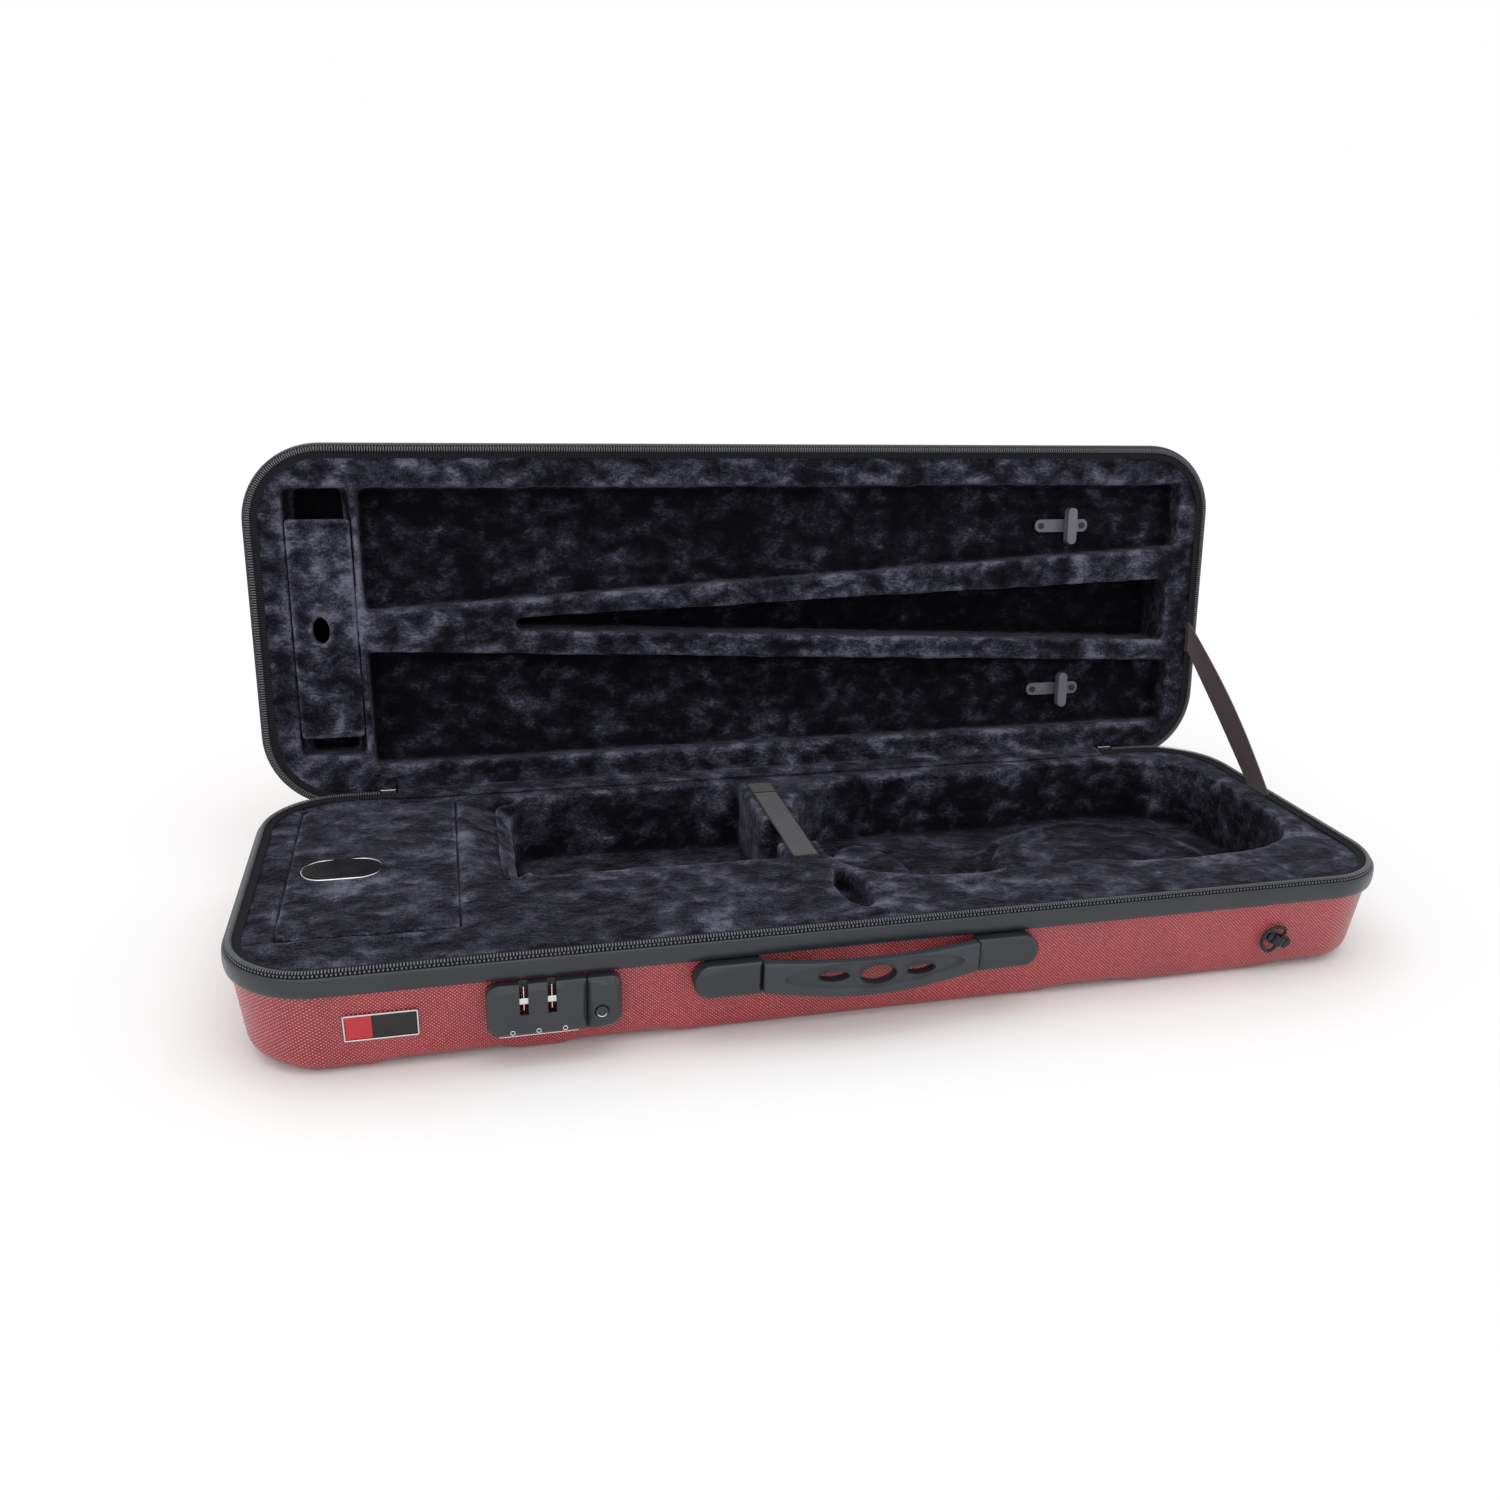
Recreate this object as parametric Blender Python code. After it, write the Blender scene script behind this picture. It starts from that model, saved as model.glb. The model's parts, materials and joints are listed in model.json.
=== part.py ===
"""A hard oblong violin case with a zipped rim, standing open.

Metres. +X runs along the case from the scroll end to the body end, +Y from the handle side to the hinge
side, +Z up. The origin is on the ground under the middle of the base. The lid is modelled as it lies when
shut, in a frame on its edge at the hinge side, which is turned open about the hinge line just below it.
"""

import math

import bmesh
import bpy
from mathutils import Matrix, Vector

# Overall
CASE_LENGTH = 0.800
CASE_WIDTH = 0.277
CORNER_RADIUS = 0.0585
RIM_HEIGHT = 0.0748  # where the two halves meet
LID_DEPTH = 0.060
FOOT_HEIGHT = 0.0025
FOOT_CORNER = 0.012
FEET_X = ((-0.366, -0.303), (-0.240, -0.190), (-0.139, 0.138), (0.182, 0.312))
OPEN_ANGLE = math.radians(97.3)
CORNER_STEPS = 12

# Clearances
GAP = 0.0003  # between pieces that touch
FOAM_GAP = 0.0005  # foam in its shell
RUN_GAP = 0.0004  # beside a piece that moves

# Shells: a wall that leans in towards the bottom and a rounded bottom edge
WALL = 0.0025
SHELL_LIP = 0.0038  # from the rim plane to the shell's edge
LIP_INSET = 0.0023  # of the shell's edge from the band's face
WALL_SLOPE = 0.107
EDGE_ROUND = 0.011
EDGE_STEPS = 4

# Rim band, zip tape and zip teeth, as depths from the rim plane and insets from the band's face
BAND_TOP = 0.0036
BAND_BOTTOM = 0.0165
BAND_CHAMFER = 0.0010
TAPE_TOP = 0.0018
TAPE_BOTTOM = 0.0033
TAPE_INSET = 0.0033
TAPE_WIDTH = 0.0042
TEETH_TOP = 0.0002
TEETH_BOTTOM = 0.0015
TEETH_INSET = 0.0036
TEETH_WIDTH = 0.0024
ZIP_END = 0.3165  # the zip stops here along the back, on both sides

# Base foam
FOAM_TOP = 0.0040  # depth of the plush below the rim plane
FLOOR_THICKNESS = 0.0116
WELL_START = -0.219  # it ends at the neck block
WELL_Y = (-0.025, 0.116)
WELL_RADIUS = 0.022
COMPARTMENT = ((-0.365, -0.081), (-0.266, 0.111))
COMPARTMENT_RADIUS = 0.010
BODY_START = -0.004
BODY_END = 0.372
BODY_CENTRE = 0.020
UPPER_HALF_WIDTH = 0.093
LOWER_HALF_WIDTH = 0.101
WAIST_PULL = 0.010
BODY_POWER = 4
NECK_BLOCK = ((-0.0330, -0.045), (-0.0010, 0.128))
NECK_CHANNEL = (-0.002, 0.042)
NECK_FLOOR = 0.038
DIMPLE_CENTRE = (0.001, -0.079)
DIMPLE_SIZE = (0.011, 0.030)
DIMPLE_DEPTH = 0.016
LOWER_PAD = ((0.245, 0.010), (0.090, 0.074))  # centre and half axes
UPPER_PAD = ((0.052, 0.020), (0.032, 0.052))
PAD_HEIGHT = 0.012
PAD_CHAMFER = 0.004
PAD_STEPS = 40

# Accessory compartment lid and its pull tab
COVER = ((-0.3705, -0.0870), (-0.2600, 0.1165))
COVER_THICKNESS = 0.0068
TAB_LENGTH = 0.052
TAB_WIDTH = 0.030
TAB_THICKNESS = 0.0016
TAB_ROOT = (-0.362, 0.005)
COVER_CORNER = 0.014  # at the end wall; the hinge side is nearly square
SHARP_CORNER = 0.001

# Neck strap
STRAP_X = -0.018
STRAP_WIDTH = 0.018
STRAP_THICKNESS = 0.0016
STRAP_HINGE_Y = 0.088
STRAP_REACH = 0.118

# Stay strap
STAY_WIDTH = 0.0175
STAY_THICKNESS = 0.0014
STAY_INSET = 0.0085
STAY_BASE_Y = 0.027
STAY_LID_REACH = 0.1095
STAY_TAB_HEIGHT = 0.0018

# Hinge line and fabric hinge
HINGE_INSET = 0.0057  # of the line the lid turns about, from the band's face
HINGE_DROP = 0.0077  # and from the rim plane
HINGE_HALF_LENGTH = 0.3020
HINGE_THICKNESS = 0.0010
HINGE_BASE_INSETS = (0.0090, 0.0045, -0.0010)  # of the strip's points over the base, from the band's face
HINGE_BASE_HEIGHTS = (-0.0030, -0.0021, -0.0012)  # and from the rim plane
HINGE_LID_POINTS = ((0.0105, 0.0012), (0.0075, 0.0030))  # reach and depth in the lid

# Lock on the front wall
LOCK_X = (-0.2475, -0.1875)
LOCK_Z = (0.0220, 0.0570)
LOCK_PROUD = 0.0065  # front face beyond the band's face
LOCK_CHAMFER = 0.0035
LOCK_RADIUS = 0.008
LOCK_SKIN = 0.0020
LOCK_JOINT_RADIUS = 0.0008  # where the housing meets its end cover
END_COVER_RADII = (0.006, 0.008)  # top and bottom
END_COVER_X = (-0.1872, -0.1664)
PULLER_SLOTS = (-0.2253, -0.2086)
PULLER_SLOT_WIDTH = 0.0052
PULLER_SLOT_FLOOR = 0.0378
BUTTON_CENTRE = (-0.1790, 0.0350)
BUTTON_RADIUS = 0.0040
BUTTON_PROUD = 0.0012
BUTTON_LENGTH = 0.0080
DIALS_X = (-0.2326, -0.2171, -0.2013)
DIAL_RADIUS = 0.0047
DIAL_WIDTH = 0.0060
DIAL_PROUD = 0.0006  # below the housing
SHAFT_RADIUS = 0.0012
CATCH_Z = (0.0440, 0.0480)
CATCH_THICKNESS = 0.0020
CATCH_END = 0.0070

# Handle on the front wall
MOUNT_LEFT_X = (-0.1220, -0.0788)
MOUNT_RIGHT_X = (0.0660, 0.1096)
MOUNT_Z = (0.0350, 0.0578)
MOUNT_PROUD = 0.0085
MOUNT_CHAMFER = 0.0030
MOUNT_RADIUS = 0.0110
GRIP_TOP = (0.0575, 0.0555)  # height at the ends and at the middle
GRIP_BOTTOM = (0.0365, 0.0305)
GRIP_PROUD = (0.0095, 0.0150)  # front face beyond the band's face, ends and middle
GRIP_THICKNESS = 0.0085
GRIP_STEPS = 14
GRIP_HOLES = ((-0.0340, 0.0465, 0.0100, 0.0036), (-0.0047, 0.0455, 0.0122, 0.0068),
              (0.0245, 0.0455, 0.0100, 0.0036))

# Badge on the front wall
BADGE_X = (-0.3298, -0.2866)
BADGE_Z = (0.0245, 0.0433)
BADGE_PROUD = 0.0016
BADGE_RIM = 0.0010
BADGE_SPLIT = -0.3131
BADGE_PLATE_PROUD = 0.0011
BADGE_RADIUS = 0.0012

# Strap rings
SADDLE_LENGTH = 0.0245
SADDLE_WIDTH = 0.0085
SADDLE_THICKNESS = 0.0012
HUMP_RADIUS = 0.0046
HUMP_SHARE = 0.8  # of the saddle's width
RING_WIRE = 0.0013
RING_WIDTH = 0.0210
RING_DEPTH = 0.0150
RING_CORNER = 0.0030
RING_STEPS = 18
RING_AXIS_HEIGHT = 0.0028  # of the ring's axis above the wall
SCREW_SPACING = 0.0165
SCREW_RADIUS = 0.0026
SCREW_HEIGHT = 0.0011
RING_X = 0.3030
RING_Z = 0.0277
RING_TILT = math.radians(26)

# Zip sliders on the back rim
SLIDER_X = 0.3095
SLIDER_LENGTH = 0.0120
SLIDER_DEPTH = 0.0031
SLIDER_RADIUS = 0.0012
SLIDER_Z = (0.0716, 0.0752)
SLIDER_INSET = 0.0030
ZIP_TAB_WIDTH = 0.0080
ZIP_TAB_LENGTH = 0.0260
ZIP_TAB_THICKNESS = 0.0010
ZIP_TAB_CLEAR = 0.0004

# Lid foam, as reach from the lid's edge at the hinge side and depth from the rim plane
CHANNEL_X = (-0.3185, 0.3730)
UPPER_CHANNEL_REACH = ((0.152, 0.190), 0.2440)
LOWER_CHANNEL_REACH = ((0.0315, 0.0325), (0.121, 0.088))
CHANNEL_DEPTH = 0.024
VALLEY_X = (-0.205, 0.366)
VALLEY_REACH = ((0.134, 0.107), (0.144, 0.162))
VALLEY_DEPTH = 0.046
SLOT_X = (-0.3715, -0.3235)
SLOT_REACH = (0.041, 0.2445)
SLOT_DEPTH = 0.034
SLOT_LEDGE = 0.006
POCKET_CORNER = 0.003
POCKET_REACH = (0.055, 0.2215)
POCKET_THICKNESS = 0.010
POCKET_DEPTH = 0.0045
FINGER_HOLE = (-0.3505, 0.1385, 0.0068, 0.0110)
HOLDERS_REACH = {"upper": 0.2088, "lower": 0.0643}
HOLDER_X = (0.2440, 0.2940)
HOLDER_WIDTH = 0.011
HOLDER_THICKNESS = 0.0018
TOGGLE_X = 0.2740
TOGGLE_LENGTH = 0.031
TOGGLE_WIDTH = 0.0085
TOGGLE_THICKNESS = 0.0075
TOGGLE_STEM = 0.0030

BASE_DEPTH = RIM_HEIGHT - FOOT_HEIGHT
FOAM_BOTTOM_Z = FOOT_HEIGHT + WALL + FOAM_GAP
FLOOR_TOP_Z = FOAM_BOTTOM_Z + FLOOR_THICKNESS
FOAM_TOP_Z = RIM_HEIGHT - FOAM_TOP
HALF_WIDTH = CASE_WIDTH / 2
DIAL_Y = LOCK_SKIN + RUN_GAP + DIAL_RADIUS - LOCK_PROUD - HALF_WIDTH
DIAL_Z = LOCK_Z[0] - DIAL_PROUD + DIAL_RADIUS
FAR = 0.5  # beyond every face of the case


# ------------------------------------------------------------------ modelling helpers

def clear_scene():
    for item in list(bpy.data.objects):
        bpy.data.objects.remove(item)


def make_material(name, colour, roughness, metallic=0.0):
    material = bpy.data.materials.new(name)
    material.use_nodes = True
    shader = material.node_tree.nodes["Principled BSDF"]
    shader.inputs["Base Color"].default_value = (*colour, 1.0)
    shader.inputs["Roughness"].default_value = roughness
    shader.inputs["Metallic"].default_value = metallic
    return material


def add_object(name, bm, material=None, parent=None, smooth_angle=None):
    """Turns a bmesh into a named object. Its faces are made to point out."""
    bmesh.ops.recalc_face_normals(bm, faces=bm.faces)
    mesh = bpy.data.meshes.new(name)
    bm.to_mesh(mesh)
    bm.free()
    item = bpy.data.objects.new(name, mesh)
    bpy.context.collection.objects.link(item)
    if material is not None:
        mesh.materials.append(material)
    if smooth_angle is not None:
        mesh.shade_smooth()
        mesh.set_sharp_from_angle(angle=math.radians(smooth_angle))
    item.parent = parent
    return item


def bridge_rings(rings, closed=False):
    """A bmesh skin over rings of equal point counts, capped at both ends or closed into a loop."""
    bm = bmesh.new()
    loops = [[bm.verts.new(point) for point in ring] for ring in rings]
    count = len(loops[0])
    pairs = list(zip(loops, loops[1:]))
    if closed:
        pairs.append((loops[-1], loops[0]))
    for lower, upper in pairs:
        for i in range(count):
            j = (i + 1) % count
            bm.faces.new((lower[i], lower[j], upper[j], upper[i]))
    if not closed:
        bm.faces.new(loops[0][::-1])
        bm.faces.new(loops[-1])
    return bm


def rounded_rectangle(x_range, y_range, radii, steps=6):
    """Points round a rectangle. radii: one value, or one for each corner from (+x, +y) anticlockwise."""
    if not isinstance(radii, tuple):
        radii = (radii,) * 4
    corners = ((x_range[1], y_range[1]), (x_range[0], y_range[1]),
               (x_range[0], y_range[0]), (x_range[1], y_range[0]))
    inward = ((-1, -1), (1, -1), (1, 1), (-1, 1))
    points = []
    for turn, (corner, side, radius) in enumerate(zip(corners, inward, radii)):
        centre = (corner[0] + side[0] * radius, corner[1] + side[1] * radius)
        for step in range(steps + 1):
            angle = math.pi / 2 * (turn + step / max(steps, 1))
            points.append((centre[0] + radius * math.cos(angle), centre[1] + radius * math.sin(angle)))
    return points


def ellipse(centre, half_axes, steps=24):
    angles = [2 * math.pi * step / steps for step in range(steps)]
    return [(centre[0] + half_axes[0] * math.cos(a), centre[1] + half_axes[1] * math.sin(a)) for a in angles]


def lift(outline, level):
    return [(x, y, level) for x, y in outline]


def prism(outline, low, high):
    return bridge_rings([lift(outline, low), lift(outline, high)])


def box(low, high):
    return prism(rounded_rectangle((low[0], high[0]), (low[1], high[1]), 0.0, 0), low[2], high[2])


def cylinder(radius, length, steps=24, bore=0.0):
    """A cylinder about X, centred on the origin, with an optional bore."""
    def ring(r, x):
        return [(x, r * math.cos(a), r * math.sin(a)) for a in
                (2 * math.pi * step / steps for step in range(steps))]
    half = length / 2
    if bore:
        return bridge_rings([ring(bore, -half), ring(radius, -half), ring(radius, half), ring(bore, half)],
                            closed=True)
    return bridge_rings([ring(radius, -half), ring(radius, half)])


def to_front(bm):
    """Turns an outline drawn in X and Z, extruded along the drawing's third axis, into world axes."""
    bmesh.ops.transform(bm, matrix=Matrix(((1, 0, 0, 0), (0, 0, 1, 0), (0, 1, 0, 0), (0, 0, 0, 1))),
                        verts=bm.verts)
    return bm


def cut(target, bm, operation="DIFFERENCE"):
    """Cuts, keeps or joins a shape with a Boolean modifier. The shape stays as a hidden guide."""
    cutter = add_object(f"{target.name}_guide", bm, parent=target.parent)
    cutter.hide_render = True
    cutter.display_type = "WIRE"
    cutter.location = target.location
    modifier = target.modifiers.new("shape", "BOOLEAN")
    modifier.operation = operation
    modifier.solver = "EXACT"
    modifier.object = cutter
    return target


# ------------------------------------------------------------------ shared outlines of the two halves

def half_frame(half):
    """(height of a depth, shift across the case) in the frame of the base or of the lid."""
    if half == "base":
        return (lambda depth: RIM_HEIGHT - depth), 0.0
    return (lambda depth: depth), -HALF_WIDTH


def case_ring(half, inset, depth):
    height, shift = half_frame(half)
    outline = rounded_rectangle((inset - CASE_LENGTH / 2, CASE_LENGTH / 2 - inset),
                                (inset - HALF_WIDTH + shift, HALF_WIDTH - inset + shift),
                                CORNER_RADIUS - inset, CORNER_STEPS)
    return lift(outline, height(depth))


def wall_inset(depth, tray_depth):
    """Inset of a shell's outer face at a depth: a leaning wall, then a rounded edge."""
    start = tray_depth - EDGE_ROUND
    inset = LIP_INSET + WALL_SLOPE * (depth - SHELL_LIP)
    if depth > start:
        share = min((depth - start) / EDGE_ROUND, 1.0)
        inset += EDGE_ROUND * (1 - math.sqrt(1 - share * share))
    return inset


def wall_levels(top, tray_depth):
    start = tray_depth - EDGE_ROUND
    curve = [start + EDGE_ROUND * math.sin(math.pi / 2 * step / EDGE_STEPS) for step in range(EDGE_STEPS + 1)]
    return [top] + [level for level in curve if level > top + GAP]


def tray_depth_of(half):
    return BASE_DEPTH if half == "base" else LID_DEPTH


def make_shell(half, material, parent):
    depth = tray_depth_of(half)
    inner_depth = depth - WALL
    outer = [case_ring(half, wall_inset(level, depth), level) for level in wall_levels(SHELL_LIP, depth)]
    inner = [case_ring(half, wall_inset(level, inner_depth) + WALL, level)
             for level in wall_levels(SHELL_LIP, inner_depth)]
    return add_object(f"{half}_shell", bridge_rings(outer[::-1] + inner), material, parent, 35)


def foam_block(half, top, bottom):
    """Foam between two depths that fills its shell, with a gap all round."""
    inner_depth = tray_depth_of(half) - WALL
    levels = [level for level in wall_levels(top, inner_depth - FOAM_GAP) if level < bottom - GAP] + [bottom]
    rings = [case_ring(half, wall_inset(level + FOAM_GAP, inner_depth) + WALL + FOAM_GAP, level)
             for level in levels]
    return bridge_rings(rings)


def make_band(half, material, parent):
    depths = (BAND_TOP, BAND_TOP + BAND_CHAMFER, BAND_BOTTOM - BAND_CHAMFER, BAND_BOTTOM)
    insets = (BAND_CHAMFER, 0.0, 0.0, BAND_CHAMFER)
    outer = [case_ring(half, inset, depth) for inset, depth in zip(insets, depths)]
    back = [case_ring(half, wall_inset(max(depth, SHELL_LIP), tray_depth_of(half)) - GAP, depth)
            for depth in (BAND_BOTTOM, BAND_TOP)]
    return add_object(f"{half}_rim_band", bridge_rings(outer + back, closed=True), material, parent, 50)


def make_zip_strip(half, name, top, bottom, inset, width, material, parent):
    """A strip that runs round the rim and stops on both sides of the hinge."""
    rings = [case_ring(half, inset, top), case_ring(half, inset, bottom),
             case_ring(half, inset + width, bottom), case_ring(half, inset + width, top)]
    strip = add_object(f"{half}_{name}", bridge_rings(rings, closed=True), material, parent)
    height, shift = half_frame(half)
    low, high = sorted((height(top), height(bottom)))
    back = HALF_WIDTH + shift
    cut(strip, box((-ZIP_END, back - CORNER_RADIUS / 2, low - WALL), (ZIP_END, back + WALL, high + WALL)))
    return strip


# ------------------------------------------------------------------ pieces on the front wall

def front_wall_y(height):
    """Where the base shell's front face is at a height."""
    return wall_inset(RIM_HEIGHT - height, BASE_DEPTH) - HALF_WIDTH


def front_block(x_range, z_range, radii, proud, chamfer):
    """A block on the front wall: its back follows the wall and its front edge is chamfered."""
    face = -HALF_WIDTH - proud
    outline = rounded_rectangle(x_range, z_range, radii)
    small_radii = tuple(max(radius - chamfer, 0.0) for radius in radii)
    small = rounded_rectangle((x_range[0] + chamfer, x_range[1] - chamfer),
                              (z_range[0] + chamfer, z_range[1] - chamfer), small_radii)
    return bridge_rings([[(x, front_wall_y(z) - GAP, z) for x, z in outline],
                         [(x, face + chamfer, z) for x, z in outline],
                         [(x, face, z) for x, z in small]])


def front_prism(outline, back, front):
    """An outline in X and Z, extruded between two Y values."""
    return to_front(prism(outline, back, front))


def make_lock(base):
    lock_front = -HALF_WIDTH - LOCK_PROUD
    cavity_front = lock_front + LOCK_SKIN
    housing_radii = (LOCK_JOINT_RADIUS, LOCK_RADIUS, LOCK_RADIUS, LOCK_JOINT_RADIUS)
    housing = add_object("lock_housing", front_block(LOCK_X, LOCK_Z, housing_radii, LOCK_PROUD, LOCK_CHAMFER),
                         DARK_PLASTIC, base, 30)
    inside_x = (LOCK_X[0] + LOCK_SKIN * 1.5, LOCK_X[1] - LOCK_SKIN)
    inside_z = (LOCK_Z[0] + LOCK_SKIN, LOCK_Z[1] - LOCK_CHAMFER - LOCK_SKIN)
    wall_back = front_wall_y(LOCK_Z[0]) + WALL
    cut(housing, front_prism(rounded_rectangle(inside_x, inside_z, 0.0, 0), cavity_front, wall_back))
    for x in PULLER_SLOTS:
        half = PULLER_SLOT_WIDTH / 2
        cut(housing, box((x - half, lock_front - WALL, PULLER_SLOT_FLOOR),
                         (x + half, front_wall_y(LOCK_Z[1]) - LOCK_SKIN, LOCK_Z[1] + WALL)))
    for x in DIALS_X:
        half = DIAL_WIDTH / 2 + RUN_GAP
        cut(housing, box((x - half, DIAL_Y - DIAL_RADIUS, LOCK_Z[0] - WALL),
                         (x + half, DIAL_Y + DIAL_RADIUS, LOCK_Z[0] + LOCK_SKIN + GAP)))

    cover_radii = (END_COVER_RADII[0], LOCK_JOINT_RADIUS, LOCK_JOINT_RADIUS, END_COVER_RADII[1])
    cover_block = front_block(END_COVER_X, LOCK_Z, cover_radii, LOCK_PROUD, LOCK_CHAMFER)
    cover = add_object("lock_end_cover", cover_block, DARK_PLASTIC, base, 30)
    cut(cover, front_prism(ellipse(BUTTON_CENTRE, (BUTTON_RADIUS + RUN_GAP,) * 2),
                           lock_front - WALL, wall_back))

    button_front = lock_front - BUTTON_PROUD
    button = front_prism(ellipse((0, 0), (BUTTON_RADIUS,) * 2), 0.0, BUTTON_LENGTH)
    place(add_object("lock_button", button, DARK_PLASTIC, base, 30),
          (BUTTON_CENTRE[0], button_front, BUTTON_CENTRE[1]))

    catch_front = cavity_front + GAP
    catch_low = (PULLER_SLOTS[0] - CATCH_END, catch_front, CATCH_Z[0])
    catch_high = (PULLER_SLOTS[1] + CATCH_END, catch_front + CATCH_THICKNESS, CATCH_Z[1])
    add_object("lock_catch_bar", box(catch_low, catch_high), BRIGHT_STEEL, base)

    for number, x in enumerate(DIALS_X, 1):
        place(add_object(f"lock_dial_{number}", cylinder(DIAL_RADIUS, DIAL_WIDTH, 20, SHAFT_RADIUS + GAP),
                         DARK_PLASTIC, base, 30), (x, DIAL_Y, DIAL_Z))
    shaft_length = inside_x[1] - inside_x[0] - 2 * GAP
    place(add_object("lock_dial_shaft", cylinder(SHAFT_RADIUS, shaft_length, 12), BRIGHT_STEEL, base, 30),
          ((inside_x[0] + inside_x[1]) / 2, DIAL_Y, DIAL_Z))


def place(item, position):
    item.location = position
    return item


def blend(ends_middle, share):
    """A value that goes from its end value to its middle value and back in one smooth arch."""
    return ends_middle[0] + (ends_middle[1] - ends_middle[0]) * math.sin(math.pi * share)


def make_handle(base):
    left_radii = (SHARP_CORNER, MOUNT_RADIUS, MOUNT_RADIUS, SHARP_CORNER)
    right_radii = (MOUNT_RADIUS, SHARP_CORNER, SHARP_CORNER, MOUNT_RADIUS)
    for side, x_range, radii in (("left", MOUNT_LEFT_X, left_radii), ("right", MOUNT_RIGHT_X, right_radii)):
        add_object(f"handle_mount_{side}", front_block(x_range, MOUNT_Z, radii, MOUNT_PROUD, MOUNT_CHAMFER),
                   DARK_PLASTIC, base, 30)
    start = MOUNT_LEFT_X[1] + RUN_GAP
    end = MOUNT_RIGHT_X[0] - RUN_GAP
    chamfer = GRIP_THICKNESS / 4
    rings = []
    for step in range(GRIP_STEPS + 1):
        share = step / GRIP_STEPS
        x = start + (end - start) * share
        section = rounded_rectangle((-HALF_WIDTH - blend(GRIP_PROUD, share),
                                     GRIP_THICKNESS - HALF_WIDTH - blend(GRIP_PROUD, share)),
                                    (blend(GRIP_BOTTOM, share), blend(GRIP_TOP, share)), chamfer, 3)
        rings.append([(x, y, z) for y, z in section])
    grip = add_object("handle_grip", bridge_rings(rings), DARK_RUBBER, base, 40)
    for x, z, half_x, half_z in GRIP_HOLES:
        opening = ellipse((x, z), (half_x, half_z), 20)
        cut(grip, front_prism(opening, -HALF_WIDTH - GRIP_PROUD[1] * 2, -HALF_WIDTH))
    return grip


def make_badge(base):
    plate = front_sheet(BADGE_X, BADGE_Z, BADGE_RADIUS, BADGE_PROUD)
    frame = add_object("badge_frame", plate, BRIGHT_STEEL, base)
    inner_x = (BADGE_X[0] + BADGE_RIM, BADGE_X[1] - BADGE_RIM)
    inner_z = (BADGE_Z[0] + BADGE_RIM, BADGE_Z[1] - BADGE_RIM)
    cut(frame, box((inner_x[0], -HALF_WIDTH - WALL, inner_z[0]),
                   (inner_x[1], WALL * 4 - HALF_WIDTH, inner_z[1])))
    half_line = BADGE_RIM / 4
    for name, x_range, material in (("left", (inner_x[0] + GAP, BADGE_SPLIT - half_line), BADGE_RED),
                                    ("right", (BADGE_SPLIT + half_line, inner_x[1] - GAP), BADGE_BLACK)):
        add_object(f"badge_plate_{name}", front_sheet(x_range, (inner_z[0] + GAP, inner_z[1] - GAP), GAP,
                                                      BADGE_PLATE_PROUD), material, base)


def front_sheet(x_range, z_range, radius, thickness):
    """A thin plate that lies on the leaning front wall."""
    outline = rounded_rectangle(x_range, z_range, radius, 3)
    return bridge_rings([[(x, front_wall_y(z) - GAP, z) for x, z in outline],
                         [(x, front_wall_y(z) - GAP - thickness, z) for x, z in outline]])


# ------------------------------------------------------------------ strap rings

def wall_frame(position, outward, along, tilt):
    """An empty on a wall: its Z axis points out of the wall and its X axis is tilted from the level."""
    turned = Matrix.Rotation(tilt, 3, outward) @ along
    side = outward.cross(turned)
    matrix = Matrix((turned, side, outward)).transposed().to_4x4()
    matrix.translation = position
    return matrix


def make_empty(name, matrix, parent=None):
    item = bpy.data.objects.new(name, None)
    bpy.context.collection.objects.link(item)
    item.parent = parent
    item.matrix_local = matrix
    return item


def make_saddle(name, parent):
    """A plate with a raised loop across its middle, drawn on the X and Y plane of its empty."""
    half = SADDLE_WIDTH / 2
    base = add_object(name, prism(rounded_rectangle((-SADDLE_LENGTH / 2, SADDLE_LENGTH / 2), (-half, half),
                                                    half * 0.95), 0.0, SADDLE_THICKNESS),
                      BLACK_METAL, parent)
    hump = bridge_rings([[(HUMP_RADIUS * math.cos(a), y, SADDLE_THICKNESS / 2 + HUMP_RADIUS * math.sin(a))
                          for a in (math.pi * step / 12 for step in range(13))]
                         for y in (-half * HUMP_SHARE, half * HUMP_SHARE)])
    cut(base, hump, "UNION")
    bore = cylinder(RING_WIRE + RUN_GAP, SADDLE_WIDTH * 2, 16)
    bmesh.ops.transform(bore, matrix=Matrix.Translation((0, 0, RING_AXIS_HEIGHT)) @
                        Matrix.Rotation(math.pi / 2, 4, "Z"), verts=bore.verts)
    cut(base, bore)
    return base


def make_ring(name, parent):
    """A D of round wire. Its straight side lies on the empty's Y axis, and the bow points to -X."""
    half = RING_WIDTH / 2
    path = [(0.0, -half + RING_CORNER), (0.0, half - RING_CORNER)]
    for step in range(RING_STEPS + 1):
        angle = math.pi / 2 + math.pi * step / RING_STEPS
        path.append((math.cos(angle) * (RING_DEPTH - RING_CORNER) - RING_CORNER, math.sin(angle) * half))
    sides = 8
    rings = []
    for i, (x, y) in enumerate(path):
        before = Vector(path[i - 1])
        after = Vector(path[(i + 1) % len(path)])
        direction = (after - before).normalized()
        normal = Vector((direction.y, -direction.x))
        rings.append([(x + normal.x * RING_WIRE * math.cos(a), y + normal.y * RING_WIRE * math.cos(a),
                       RING_WIRE * math.sin(a)) for a in (2 * math.pi * k / sides for k in range(sides))])
    return add_object(name, bridge_rings(rings, closed=True), BLACK_METAL, parent, 60)


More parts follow.
